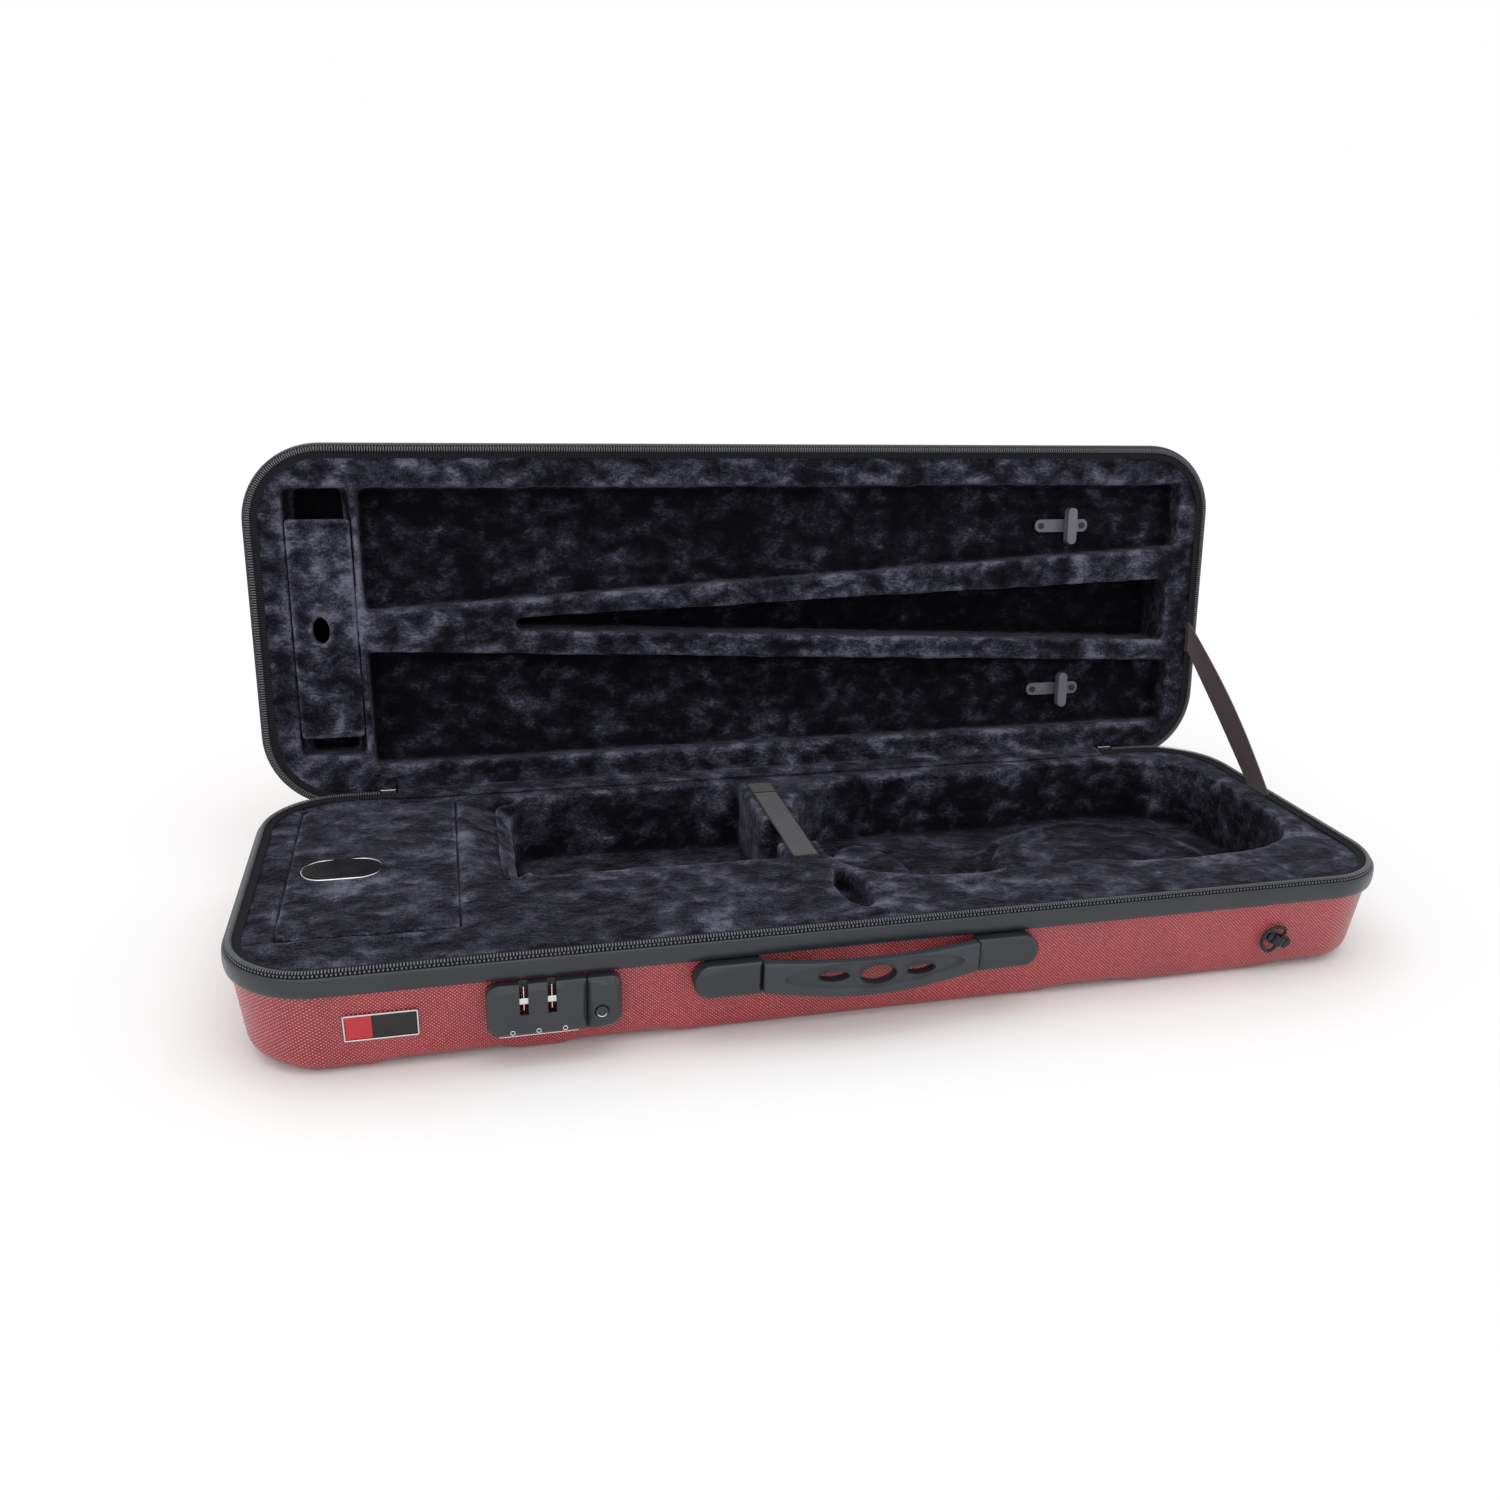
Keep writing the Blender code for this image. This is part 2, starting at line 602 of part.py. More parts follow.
def make_screws(name, parent, spacing, low):
    """Two round screw heads, one at each end of a plate."""
    for number, side in enumerate((-1, 1), 1):
        outline = ellipse((side * spacing / 2, 0), (SCREW_RADIUS, SCREW_RADIUS), 14)
        head = prism(outline, low, low + SCREW_HEIGHT)
        add_object(f"{name}_{number}", head, BLACK_METAL, parent, 30)


def make_strap_rings(base):
    lean = math.atan(WALL_SLOPE)
    out, down = math.cos(lean), -math.sin(lean)
    inset = wall_inset(RIM_HEIGHT - RING_Z, BASE_DEPTH)
    mounts = {
        "front": (Vector((RING_X, inset - HALF_WIDTH, RING_Z)), Vector((0, -out, down)), Vector((1, 0, 0)),
                  -RING_TILT),
        "rear": (Vector((RING_X, HALF_WIDTH - inset, RING_Z)), Vector((0, out, down)), Vector((1, 0, 0)),
                 RING_TILT),
    }
    for side, (position, outward, along, tilt) in mounts.items():
        frame = make_empty(f"strap_{side}", wall_frame(position + outward * GAP, outward, along, tilt), base)
        make_saddle(f"strap_saddle_{side}", frame)
        axis = make_empty(f"strap_axis_{side}", Matrix.Translation((0, 0, RING_AXIS_HEIGHT)), frame)
        make_ring(f"strap_ring_{side}", axis)
        make_screws(f"strap_screw_{side}", frame, SCREW_SPACING, SADDLE_THICKNESS + GAP)


# ------------------------------------------------------------------ foam inside the base

def body_outline(steps=56):
    """The violin body's recess: two bouts and a waist, closed by a squarish curve at each end."""
    points = []
    length = BODY_END - BODY_START
    for step in range(steps):
        angle = 2 * math.pi * step / steps
        across = math.copysign(abs(math.sin(angle)) ** (2 / BODY_POWER), math.sin(angle))
        along = math.copysign(abs(math.cos(angle)) ** (2 / BODY_POWER), math.cos(angle))
        share = (along + 1) / 2
        half = UPPER_HALF_WIDTH + (LOWER_HALF_WIDTH - UPPER_HALF_WIDTH) * share
        half -= WAIST_PULL * math.exp(-((share - 0.47) / 0.13) ** 2)
        points.append((BODY_START + length * share, BODY_CENTRE + half * across))
    return points


def make_base_foam(base):
    floor = foam_block("base", RIM_HEIGHT - FLOOR_TOP_Z, RIM_HEIGHT - FOAM_BOTTOM_Z)
    add_object("foam_floor", floor, PLUSH, base)
    bottom = RIM_HEIGHT - FLOOR_TOP_Z - GAP
    low = FLOOR_TOP_Z - WALL
    split = NECK_BLOCK[0][0]

    left = add_object("foam_scroll_end", foam_block("base", FOAM_TOP, bottom), PLUSH, base)
    cut(left, box((split - GAP, -FAR, -FAR), (FAR, FAR, FAR)))
    well = rounded_rectangle((WELL_START, split + WALL), WELL_Y, (0.0, WELL_RADIUS, WELL_RADIUS, 0.0))
    cut(left, prism(well, low, FAR))
    cut(left, prism(rounded_rectangle(*zip(*COMPARTMENT), COMPARTMENT_RADIUS), low, FAR))
    margin = RUN_GAP * 2
    cut(left, box((COVER[0][0] - margin, COVER[0][1] - margin, FOAM_TOP_Z - COVER_THICKNESS - GAP),
                  (COVER[1][0] + margin, COVER[1][1] + margin, FAR)))

    right = add_object("foam_body_end", foam_block("base", FOAM_TOP, bottom), PLUSH, base)
    cut(right, box((-FAR, -FAR, -FAR), (split, FAR, FAR)))
    cut(right, box((split - WALL, NECK_BLOCK[0][1], low), (NECK_BLOCK[1][0], HALF_WIDTH, FAR)))
    cut(right, prism(body_outline(), low, FAR))
    cut(right, prism(ellipse(DIMPLE_CENTRE, DIMPLE_SIZE), FOAM_TOP_Z - DIMPLE_DEPTH, FAR))

    neck = add_object("neck_block", foam_block("base", FOAM_TOP, bottom), PLUSH, base)
    cut(neck, box((split + GAP, NECK_BLOCK[0][1] + GAP, -FAR),
                  (NECK_BLOCK[1][0] - GAP, FAR, FAR)), "INTERSECT")
    cut(neck, box((-FAR, NECK_CHANNEL[0], NECK_FLOOR), (FAR, NECK_CHANNEL[1], FAR)))

    for name, (centre, half_axes) in (("lower_body_pad", LOWER_PAD), ("upper_body_pad", UPPER_PAD)):
        wide = ellipse(centre, half_axes, PAD_STEPS)
        small = ellipse(centre, [half_axis - PAD_CHAMFER for half_axis in half_axes], PAD_STEPS)
        pad_low = FLOOR_TOP_Z + GAP
        pad = bridge_rings([lift(wide, pad_low), lift(wide, pad_low + PAD_HEIGHT - PAD_CHAMFER),
                            lift(small, pad_low + PAD_HEIGHT)])
        add_object(name, pad, PLUSH, base)


def make_base_covers(base):
    """The accessory compartment's lid on its hinge line, its pull tab, the neck strap and its patch."""
    hinge = Vector((COVER[1][0], 0.0, FOAM_TOP_Z))
    cover_axis = make_empty("cover_axis", Matrix.Translation(hinge), base)
    outline = rounded_rectangle((COVER[0][0] - hinge.x, 0.0), (COVER[0][1], COVER[1][1]),
                                (SHARP_CORNER, COVER_CORNER, COVER_CORNER, SHARP_CORNER))
    add_object("accessory_cover", prism(outline, -COVER_THICKNESS, 0.0), PLUSH, cover_axis)

    tab_axis = make_empty("tab_axis", Matrix.Translation(
        Vector((TAB_ROOT[0], TAB_ROOT[1], FOAM_TOP_Z + GAP + TAB_THICKNESS / 2)) - hinge), cover_axis)
    half = TAB_THICKNESS / 2
    tab_outline = ellipse((TAB_LENGTH / 2, 0.0), (TAB_LENGTH / 2, TAB_WIDTH / 2), 28)
    add_object("accessory_pull_tab", prism(tab_outline, -half, half), TAB_LEATHER, tab_axis)

    strap_axis = make_empty("neck_strap_axis", Matrix.Translation(
        (STRAP_X, STRAP_HINGE_Y, FOAM_TOP_Z + GAP + STRAP_THICKNESS / 2)), base)
    half_width = STRAP_WIDTH / 2
    add_object("neck_strap", box((-half_width, -STRAP_REACH, -STRAP_THICKNESS / 2),
                                 (half_width, 0.0, STRAP_THICKNESS / 2)), WEBBING, strap_axis)
    anchor_y = STRAP_HINGE_Y + STRAP_THICKNESS  # clear of the strap's end as it turns
    low = FOAM_TOP_Z + GAP
    anchor = box((STRAP_X - half_width, anchor_y, low),
                 (STRAP_X + half_width, anchor_y + STRAP_WIDTH, low + STRAP_THICKNESS))
    add_object("neck_strap_anchor", anchor, WEBBING, base)


# ------------------------------------------------------------------ the lid's inside

def reach_prism(corners, low, high):
    """A prism over points given as (x, reach), between two depths."""
    return prism([(x, -reach) for x, reach in corners], low, high)


def tapered_channel(x_range, near, far):
    """Corners of a channel whose near and far edges each run from one reach to another."""
    return [(x_range[0], near[0]), (x_range[1], near[1]), (x_range[1], far[1]), (x_range[0], far[0])]


def make_lid_foam(lid):
    foam = add_object("lid_foam", foam_block("lid", FOAM_TOP, LID_DEPTH - WALL - FOAM_GAP), PLUSH, lid)
    lower_near, upper_far = UPPER_CHANNEL_REACH
    upper_channel = tapered_channel(CHANNEL_X, lower_near, (upper_far, upper_far))
    cut(foam, reach_prism(upper_channel, -WALL, CHANNEL_DEPTH))
    cut(foam, reach_prism(tapered_channel(CHANNEL_X, *LOWER_CHANNEL_REACH), -WALL, CHANNEL_DEPTH))
    cut(foam, reach_prism(tapered_channel(VALLEY_X, *VALLEY_REACH), -WALL, VALLEY_DEPTH))
    ledge_top = POCKET_DEPTH + POCKET_THICKNESS + GAP
    cut(foam, reach_prism(tapered_channel(SLOT_X, (SLOT_REACH[0],) * 2, (SLOT_REACH[1],) * 2),
                          -WALL, ledge_top))
    narrow = (SLOT_X[0] + SLOT_LEDGE, SLOT_X[1] - SLOT_LEDGE)
    cut(foam, reach_prism(tapered_channel(narrow, (SLOT_REACH[0],) * 2, (SLOT_REACH[1],) * 2),
                          ledge_top - GAP, SLOT_DEPTH))


def make_pocket_cover(lid):
    """The padded cover of the tube slot, on a hinge line along its outer edge."""
    edge_x = SLOT_X[0] + RUN_GAP * 2
    axis = make_empty("pocket_axis", Matrix.Translation((edge_x, 0.0, POCKET_DEPTH)), lid)
    width = SLOT_X[1] - RUN_GAP * 2 - edge_x
    outline = rounded_rectangle((0.0, width), (-POCKET_REACH[1], -POCKET_REACH[0]), POCKET_CORNER)
    cover = add_object("lid_pocket_cover", prism(outline, 0.0, POCKET_THICKNESS), PLUSH, axis)
    x, reach, half_x, half_y = FINGER_HOLE
    cut(cover, prism(ellipse((x - edge_x, -reach), (half_x, half_y)), -WALL, POCKET_THICKNESS + WALL))


def make_bow_holders(lid):
    plate_low = CHANNEL_DEPTH - GAP - HOLDER_THICKNESS
    half = HOLDER_WIDTH / 2
    for name, reach in HOLDERS_REACH.items():
        outline = rounded_rectangle(HOLDER_X, (-reach - half, -reach + half), half * 0.9)
        add_object(f"bow_holder_plate_{name}", prism(outline, plate_low, plate_low + HOLDER_THICKNESS),
                   HOLDER_PLASTIC, lid)
        frame = make_empty(f"bow_holder_screws_{name}",
                           Matrix.Translation((sum(HOLDER_X) / 2, -reach, 0.0)), lid)
        spacing = HOLDER_X[1] - HOLDER_X[0] - HOLDER_WIDTH
        make_screws(f"bow_screw_{name}", frame, spacing, plate_low - GAP - SCREW_HEIGHT)
        axis = make_empty(f"bow_toggle_axis_{name}",
                          Matrix.Translation((TOGGLE_X, -reach, plate_low - GAP)), lid)
        half_width, half_length = TOGGLE_WIDTH / 2, TOGGLE_LENGTH / 2
        bar = rounded_rectangle((-half_width, half_width), (-half_length, half_length), half_width * 0.96)
        body = prism(bar, -TOGGLE_STEM - TOGGLE_THICKNESS, -TOGGLE_STEM)
        toggle = add_object(f"bow_toggle_{name}", body, HOLDER_PLASTIC, axis, 40)
        cut(toggle, prism(ellipse((0, 0), (TOGGLE_WIDTH * 0.4,) * 2, 16), -TOGGLE_STEM - GAP, 0.0), "UNION")


# ------------------------------------------------------------------ what joins the two halves

def lid_point(lid, x, reach, depth):
    return lid.matrix_world @ Vector((x, -reach, depth))


def make_fabric_hinge(base, lid):
    """A thin strip that rises from the base foam, bends over the base band and ends on the lid foam."""
    line = [Vector((0.0, HALF_WIDTH - inset, RIM_HEIGHT + height))
            for inset, height in zip(HINGE_BASE_INSETS, HINGE_BASE_HEIGHTS)]
    line += [lid_point(lid, 0.0, reach, depth) for reach, depth in HINGE_LID_POINTS]
    half = HINGE_THICKNESS / 2
    upper, lower = [], []
    for i, point in enumerate(line):
        direction = (line[min(i + 1, len(line) - 1)] - line[max(i - 1, 0)]).normalized()
        normal = Vector((0.0, -direction.z, direction.y))
        upper.append(point + normal * half)
        lower.append(point - normal * half)
    section = upper + lower[::-1]
    rings = [[(x, p.y, p.z) for p in section] for x in (-HINGE_HALF_LENGTH, HINGE_HALF_LENGTH)]
    add_object("fabric_hinge", bridge_rings(rings), PLUSH, base)


def make_stay_strap(base, lid):
    """Webbing from the base rim to the lid rim at the body end, taut, with a sewn tab at each end."""
    x = CASE_LENGTH / 2 - STAY_INSET
    half_tab = STAY_WIDTH * 0.75
    tab_low = FOAM_TOP_Z + GAP
    tab = ((x - STAY_THICKNESS * 2, STAY_BASE_Y - half_tab), (x, STAY_BASE_Y + half_tab))
    add_object("stay_tab_base", box((*tab[0], tab_low), (*tab[1], tab_low + STAY_TAB_HEIGHT)),
               STRAP_BROWN, base)
    depth = FOAM_TOP - GAP
    add_object("stay_tab_lid", box((tab[0][0], -STAY_LID_REACH - half_tab, depth - STAY_TAB_HEIGHT),
                                   (x, -STAY_LID_REACH + half_tab, depth)), STRAP_BROWN, lid)
    low = Vector((x, STAY_BASE_Y, tab_low + STAY_TAB_HEIGHT + GAP))
    high = lid_point(lid, x, STAY_LID_REACH, depth - STAY_TAB_HEIGHT - GAP)
    rim = (lid_point(lid, x, 1.0, 0.0) - lid_point(lid, x, 0.0, 0.0)).normalized()
    along = (high - low).normalized()
    low_half = STAY_WIDTH / 2 / along.z
    high_half = STAY_WIDTH / 2 / abs(along.cross(rim).x)
    corners = [low + Vector((0, low_half, 0)), low - Vector((0, low_half, 0)),
               high + rim * high_half, high - rim * high_half]
    rings = [[(x - shift, p.y, p.z) for p in corners] for shift in (0.0, STAY_THICKNESS)]
    add_object("stay_strap", bridge_rings(rings), STRAP_BROWN, base)


def make_zip_sliders(base):
    """Two sliders at the ends of the zip beside the hinge, and their hanging pull tabs."""
    near = HALF_WIDTH - SLIDER_INSET
    for side, x in (("left", -SLIDER_X), ("right", SLIDER_X)):
        centre = Vector((x, near + SLIDER_DEPTH / 2, SLIDER_Z[0]))
        slider_axis = make_empty(f"slider_axis_{side}", Matrix.Translation(centre), base)
        outline = rounded_rectangle((-SLIDER_LENGTH / 2, SLIDER_LENGTH / 2),
                                    (-SLIDER_DEPTH / 2, SLIDER_DEPTH / 2), SLIDER_RADIUS, 4)
        add_object(f"zip_slider_{side}", prism(outline, 0.0, SLIDER_Z[1] - SLIDER_Z[0]), BRIGHT_STEEL,
                   slider_axis)
        tab_y = HALF_WIDTH + ZIP_TAB_CLEAR + ZIP_TAB_THICKNESS / 2
        tab_axis = make_empty(f"zip_tab_axis_{side}",
                              Matrix.Translation(Vector((x, tab_y, SLIDER_Z[0] - GAP)) - centre), slider_axis)
        half = ZIP_TAB_WIDTH / 2
        outline = rounded_rectangle((-half, half), (-ZIP_TAB_LENGTH, -ZIP_TAB_THICKNESS), half * 0.6, 4)
        tab = add_object(f"zip_pull_tab_{side}",
                         front_prism(outline, -ZIP_TAB_THICKNESS / 2, ZIP_TAB_THICKNESS / 2), BRIGHT_STEEL,
                         tab_axis)
        slot = rounded_rectangle((-half * 0.4, half * 0.4), (-ZIP_TAB_LENGTH * 0.85, -ZIP_TAB_LENGTH * 0.5),
                                 half * 0.3, 4)
        cut(tab, front_prism(slot, -WALL, WALL))


# ------------------------------------------------------------------ the case

def make_feet(shell):
    """Low moulded ridges under the base."""
    reach = HALF_WIDTH - wall_inset(BASE_DEPTH, BASE_DEPTH)
    for start, end in FEET_X:
        outline = rounded_rectangle((start, end), (-reach, reach), FOOT_CORNER)
        small = rounded_rectangle((start + FOOT_HEIGHT, end - FOOT_HEIGHT),
                                  (FOOT_HEIGHT - reach, reach - FOOT_HEIGHT), FOOT_CORNER - FOOT_HEIGHT)
        cut(shell, bridge_rings([lift(small, 0.0), lift(outline, FOOT_HEIGHT),
                                 lift(outline, FOOT_HEIGHT + WALL / 2)]), "UNION")


def make_half(half, parent):
    shell = make_shell(half, RED_SHELL, parent)
    make_band(half, DARK_PLASTIC, parent)
    make_zip_strip(half, "zip_tape", TAPE_TOP, TAPE_BOTTOM, TAPE_INSET, TAPE_WIDTH, ZIP_BLACK, parent)
    make_zip_strip(half, "zip_teeth", TEETH_TOP, TEETH_BOTTOM, TEETH_INSET, TEETH_WIDTH, ZIP_GREY, parent)
    return shell


clear_scene()

RED_SHELL = make_material("red_shell", (0.50, 0.045, 0.062), 0.42)
DARK_PLASTIC = make_material("dark_plastic", (0.035, 0.042, 0.055), 0.38)
DARK_RUBBER = make_material("dark_rubber", (0.030, 0.036, 0.046), 0.55)
ZIP_BLACK = make_material("zip_tape", (0.012, 0.012, 0.015), 0.85)
ZIP_GREY = make_material("zip_teeth", (0.045, 0.047, 0.055), 0.45)
PLUSH = make_material("plush", (0.010, 0.010, 0.020), 0.95)
BRIGHT_STEEL = make_material("bright_steel", (0.62, 0.62, 0.64), 0.28, 1.0)
BLACK_METAL = make_material("black_metal", (0.020, 0.020, 0.024), 0.35, 0.6)
BADGE_RED = make_material("badge_red", (0.45, 0.02, 0.03), 0.35)
BADGE_BLACK = make_material("badge_black", (0.012, 0.012, 0.014), 0.30)
HOLDER_PLASTIC = make_material("holder_plastic", (0.13, 0.13, 0.16), 0.45)
WEBBING = make_material("webbing", (0.06, 0.06, 0.07), 0.80)
STRAP_BROWN = make_material("stay_webbing", (0.040, 0.018, 0.022), 0.75)
TAB_LEATHER = make_material("tab_leather", (0.012, 0.012, 0.014), 0.40)

BASE_FRAME = make_empty("base_frame", Matrix.Identity(4))
HINGE_TO_EDGE = Vector((0.0, HINGE_INSET, HINGE_DROP))
HINGE_LINE = Vector((0.0, HALF_WIDTH, RIM_HEIGHT)) - HINGE_TO_EDGE
LID_FRAME = make_empty("lid_frame", Matrix.Translation(HINGE_LINE) @
                       Matrix.Rotation(-OPEN_ANGLE, 4, "X") @ Matrix.Translation(HINGE_TO_EDGE))
bpy.context.view_layer.update()

make_feet(make_half("base", BASE_FRAME))
make_half("lid", LID_FRAME)
make_base_foam(BASE_FRAME)
make_base_covers(BASE_FRAME)
make_lid_foam(LID_FRAME)
make_pocket_cover(LID_FRAME)
make_bow_holders(LID_FRAME)
make_fabric_hinge(BASE_FRAME, LID_FRAME)
make_stay_strap(BASE_FRAME, LID_FRAME)
make_lock(BASE_FRAME)
make_handle(BASE_FRAME)
make_badge(BASE_FRAME)
make_strap_rings(BASE_FRAME)
make_zip_sliders(BASE_FRAME)
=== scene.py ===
# %% [markdown]
# # An open violin case
#
# This lesson dresses the working model of a hard violin case. The model already has every solid and every
# joint. Each step below replaces or refines some of those solids with the surfaces that you would see and
# touch: moulded shells, a zip, plush lining, webbing and metal.
#
# We load the model first. Everything after this is placed from its measures, so nothing has to be fitted.

# %% Load the model
import json
import math

import bmesh
import bpy
import numpy as np
from mathutils import Matrix, Vector

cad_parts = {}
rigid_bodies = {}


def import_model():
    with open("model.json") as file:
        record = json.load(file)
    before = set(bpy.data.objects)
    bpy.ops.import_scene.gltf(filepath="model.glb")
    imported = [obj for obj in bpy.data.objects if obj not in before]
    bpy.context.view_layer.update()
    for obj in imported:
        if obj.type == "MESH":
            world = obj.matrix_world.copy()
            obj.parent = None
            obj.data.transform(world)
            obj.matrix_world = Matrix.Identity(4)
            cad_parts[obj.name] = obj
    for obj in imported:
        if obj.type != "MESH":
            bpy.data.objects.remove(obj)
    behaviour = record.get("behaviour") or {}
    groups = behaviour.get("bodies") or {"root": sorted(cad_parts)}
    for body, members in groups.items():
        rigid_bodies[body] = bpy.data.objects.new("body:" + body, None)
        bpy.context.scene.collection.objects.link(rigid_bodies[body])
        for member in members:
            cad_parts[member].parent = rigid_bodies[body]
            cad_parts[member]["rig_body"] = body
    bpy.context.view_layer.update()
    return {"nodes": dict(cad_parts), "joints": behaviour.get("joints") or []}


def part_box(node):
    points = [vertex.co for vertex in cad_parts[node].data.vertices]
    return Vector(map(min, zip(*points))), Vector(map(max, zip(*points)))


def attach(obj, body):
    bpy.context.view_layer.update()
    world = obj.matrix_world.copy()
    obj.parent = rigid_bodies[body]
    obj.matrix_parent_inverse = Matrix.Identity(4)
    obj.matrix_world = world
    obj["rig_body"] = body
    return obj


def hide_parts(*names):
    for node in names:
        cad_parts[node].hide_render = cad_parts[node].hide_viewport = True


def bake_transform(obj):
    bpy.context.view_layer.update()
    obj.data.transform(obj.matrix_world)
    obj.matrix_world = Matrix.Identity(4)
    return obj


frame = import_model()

joints = {joint["name"]: joint for joint in frame["joints"]}

# %% [markdown]
# ## Two halves, one drawing
#
# The base and the lid are the same rounded tray, joined along one edge. If each half is drawn in its own
# flat space, one drawing serves both. In that space x runs along the case, y is minus the reach from the
# hinge side, and z is the depth from the rim. A matrix then carries the drawing to its half: the base hangs
# down from its rim, and the lid is turned open about the hinge line, which lies a little inside the edge.

# %% Spaces of the two halves
hinge_line = Vector(joints["lid_hinge"]["pos_m"])
open_angle = math.radians(joints["lid_hinge"]["range_deg"][1])
half_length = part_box("base_rim_band")[1].x
half_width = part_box("base_rim_band")[1].y
rim_height = 0.0748
foot_height = 0.0025
rim_edge = Vector((0.0, half_width, rim_height))
halves = {
    "base": Matrix.Translation(rim_edge) @ Matrix.Diagonal((1, 1, -1, 1)),
    "lid": (Matrix.Translation(hinge_line) @ Matrix.Rotation(-open_angle, 4, "X")
            @ Matrix.Translation(rim_edge - hinge_line)),
}
tray_depth = {"base": rim_height - foot_height, "lid": 0.060}
print("case", 2 * half_length, "by", 2 * half_width, "rim at", round(rim_height, 4))

# %% [markdown]
# ## Studio
#
# The case stands on a plain pale floor, and a wide soft light hangs over it, so the satin rim gets one long
# highlight and the lid's channels stay dark. A weak light from the front lifts the red wall. The camera
# stands to the left of the handle, a little above the rim, and looks across at the hinge.

# %% Camera, lights and floor
camera_place = Vector((-0.25586, -0.78024, 0.44318))
camera_yaw, camera_pitch, camera_roll = 0.2527, 0.3561, 0.0329
camera_lens = 29.149


def aim(yaw, pitch, roll):
    """A rotation that looks along yaw from +Y towards +X, pitch below the level, rolled about its line."""
    ahead = Vector((math.sin(yaw) * math.cos(pitch), math.cos(yaw) * math.cos(pitch), -math.sin(pitch)))
    right = Vector((math.cos(yaw), -math.sin(yaw), 0.0))
    up = right.cross(ahead)
    rolled_right = math.cos(roll) * right + math.sin(roll) * up
    rolled_up = math.cos(roll) * up - math.sin(roll) * right
    return Matrix((rolled_right, rolled_up, -ahead)).transposed().to_4x4()


camera_data = bpy.data.cameras.new("camera")
camera_data.lens = camera_lens
camera = bpy.data.objects.new("camera", camera_data)
camera.matrix_world = Matrix.Translation(camera_place) @ aim(camera_yaw, camera_pitch, camera_roll)
bpy.context.scene.collection.objects.link(camera)
bpy.context.scene.camera = camera
bpy.context.scene.view_settings.view_transform = "Standard"


def soft_light(name, place, target, size, power):
    data = bpy.data.lights.new(name, "AREA")
    data.shape = "RECTANGLE"
    data.size, data.size_y = size
    data.energy = power
    light = bpy.data.objects.new(name, data)
    light.location = place
    light.rotation_euler = (Vector(target) - Vector(place)).to_track_quat("-Z", "Y").to_euler()
    bpy.context.scene.collection.objects.link(light)
    return light


soft_light("overhead", (-0.15, -0.25, 1.7), (0.0, 0.0, 0.0), (2.0, 1.2), 9.0)
soft_light("front", (-0.9, -1.9, 0.9), (0.0, 0.0, 0.1), (1.6, 1.0), 4.0)

world = bpy.data.worlds.new("studio")
world.use_nodes = True
world.node_tree.nodes["Background"].inputs["Color"].default_value = (1.0, 1.0, 1.0, 1.0)
world.node_tree.nodes["Background"].inputs["Strength"].default_value = 1.0
bpy.context.scene.world = world

# %% [markdown]
# ## Helpers for materials
#
# Every finish here is made of nodes. `finish` starts one and sets the numbers that are the same all over,
# straight on the shader. `node` adds one node: a value may be a number or the output of another node.

# %% Material helpers
uv_map = "metres"


def finish(name, **sockets):
    """A Principled material. Socket names are written with _ for a space."""
    material = bpy.data.materials.new(name)
    material.use_nodes = True
    shader = material.node_tree.nodes["Principled BSDF"]
    for socket, value in sockets.items():
        shader.inputs[socket.replace("_", " ")].default_value = value
    return material


def node(material, kind, values=(), **settings):
    """Adds a shader node. values is a dict from its sockets to numbers or to other nodes' outputs."""
    made = material.node_tree.nodes.new("ShaderNode" + kind)
    for key, value in settings.items():
        setattr(made, key, value)
    for key, value in dict(values).items():
        if isinstance(value, bpy.types.NodeSocket):
            material.node_tree.links.new(value, made.inputs[key])
        else:
            made.inputs[key].default_value = value
    return made


def join_shader(material, **sockets):
    shader = material.node_tree.nodes["Principled BSDF"]
    for socket, value in sockets.items():
        material.node_tree.links.new(value, shader.inputs[socket.replace("_", " ")])


def maths(material, operation, first, second=0.0, third=0.0):
    return node(material, "Math", {0: first, 1: second, 2: third}, operation=operation).outputs[0]


def in_metres(material, stretch=(1.0, 1.0, 1.0), turn=0.0):
    """The piece's own coordinates, scaled along each axis and turned about Z."""
    place = node(material, "TexCoord").outputs["Object"]
    mapping = node(material, "Mapping", {"Vector": place, "Scale": stretch, "Rotation": (0.0, 0.0, turn)})
    return mapping.outputs[0]


def grain(material, size, vector=None, detail=2.0, distortion=0.0):
    """Noise whose blotches are about size metres across."""
    values = {"Vector": vector or in_metres(material), "Scale": 1 / size, "Detail": detail,
              "Distortion": distortion}
    return node(material, "TexNoise", values).outputs[0]


def ramp(material, share, *stops):
    """A colour ramp. Each stop is (position, colour)."""
    made = node(material, "ValToRGB", {0: share})
    bar = made.color_ramp.elements
    while len(bar) < len(stops):
        bar.new(0.5)
    for element, (position, colour) in zip(bar, stops):
        element.position = position
        element.color = (*colour, 1.0)
    return made.outputs[0]


def between(material, share, low, high):
    """A number from low to high as share goes from 0 to 1."""
    return node(material, "MapRange", {0: share, 3: low, 4: high}).outputs[0]


def bump(material, height, distance):
    return node(material, "Bump", {"Height": height, "Distance": distance}).outputs[0]
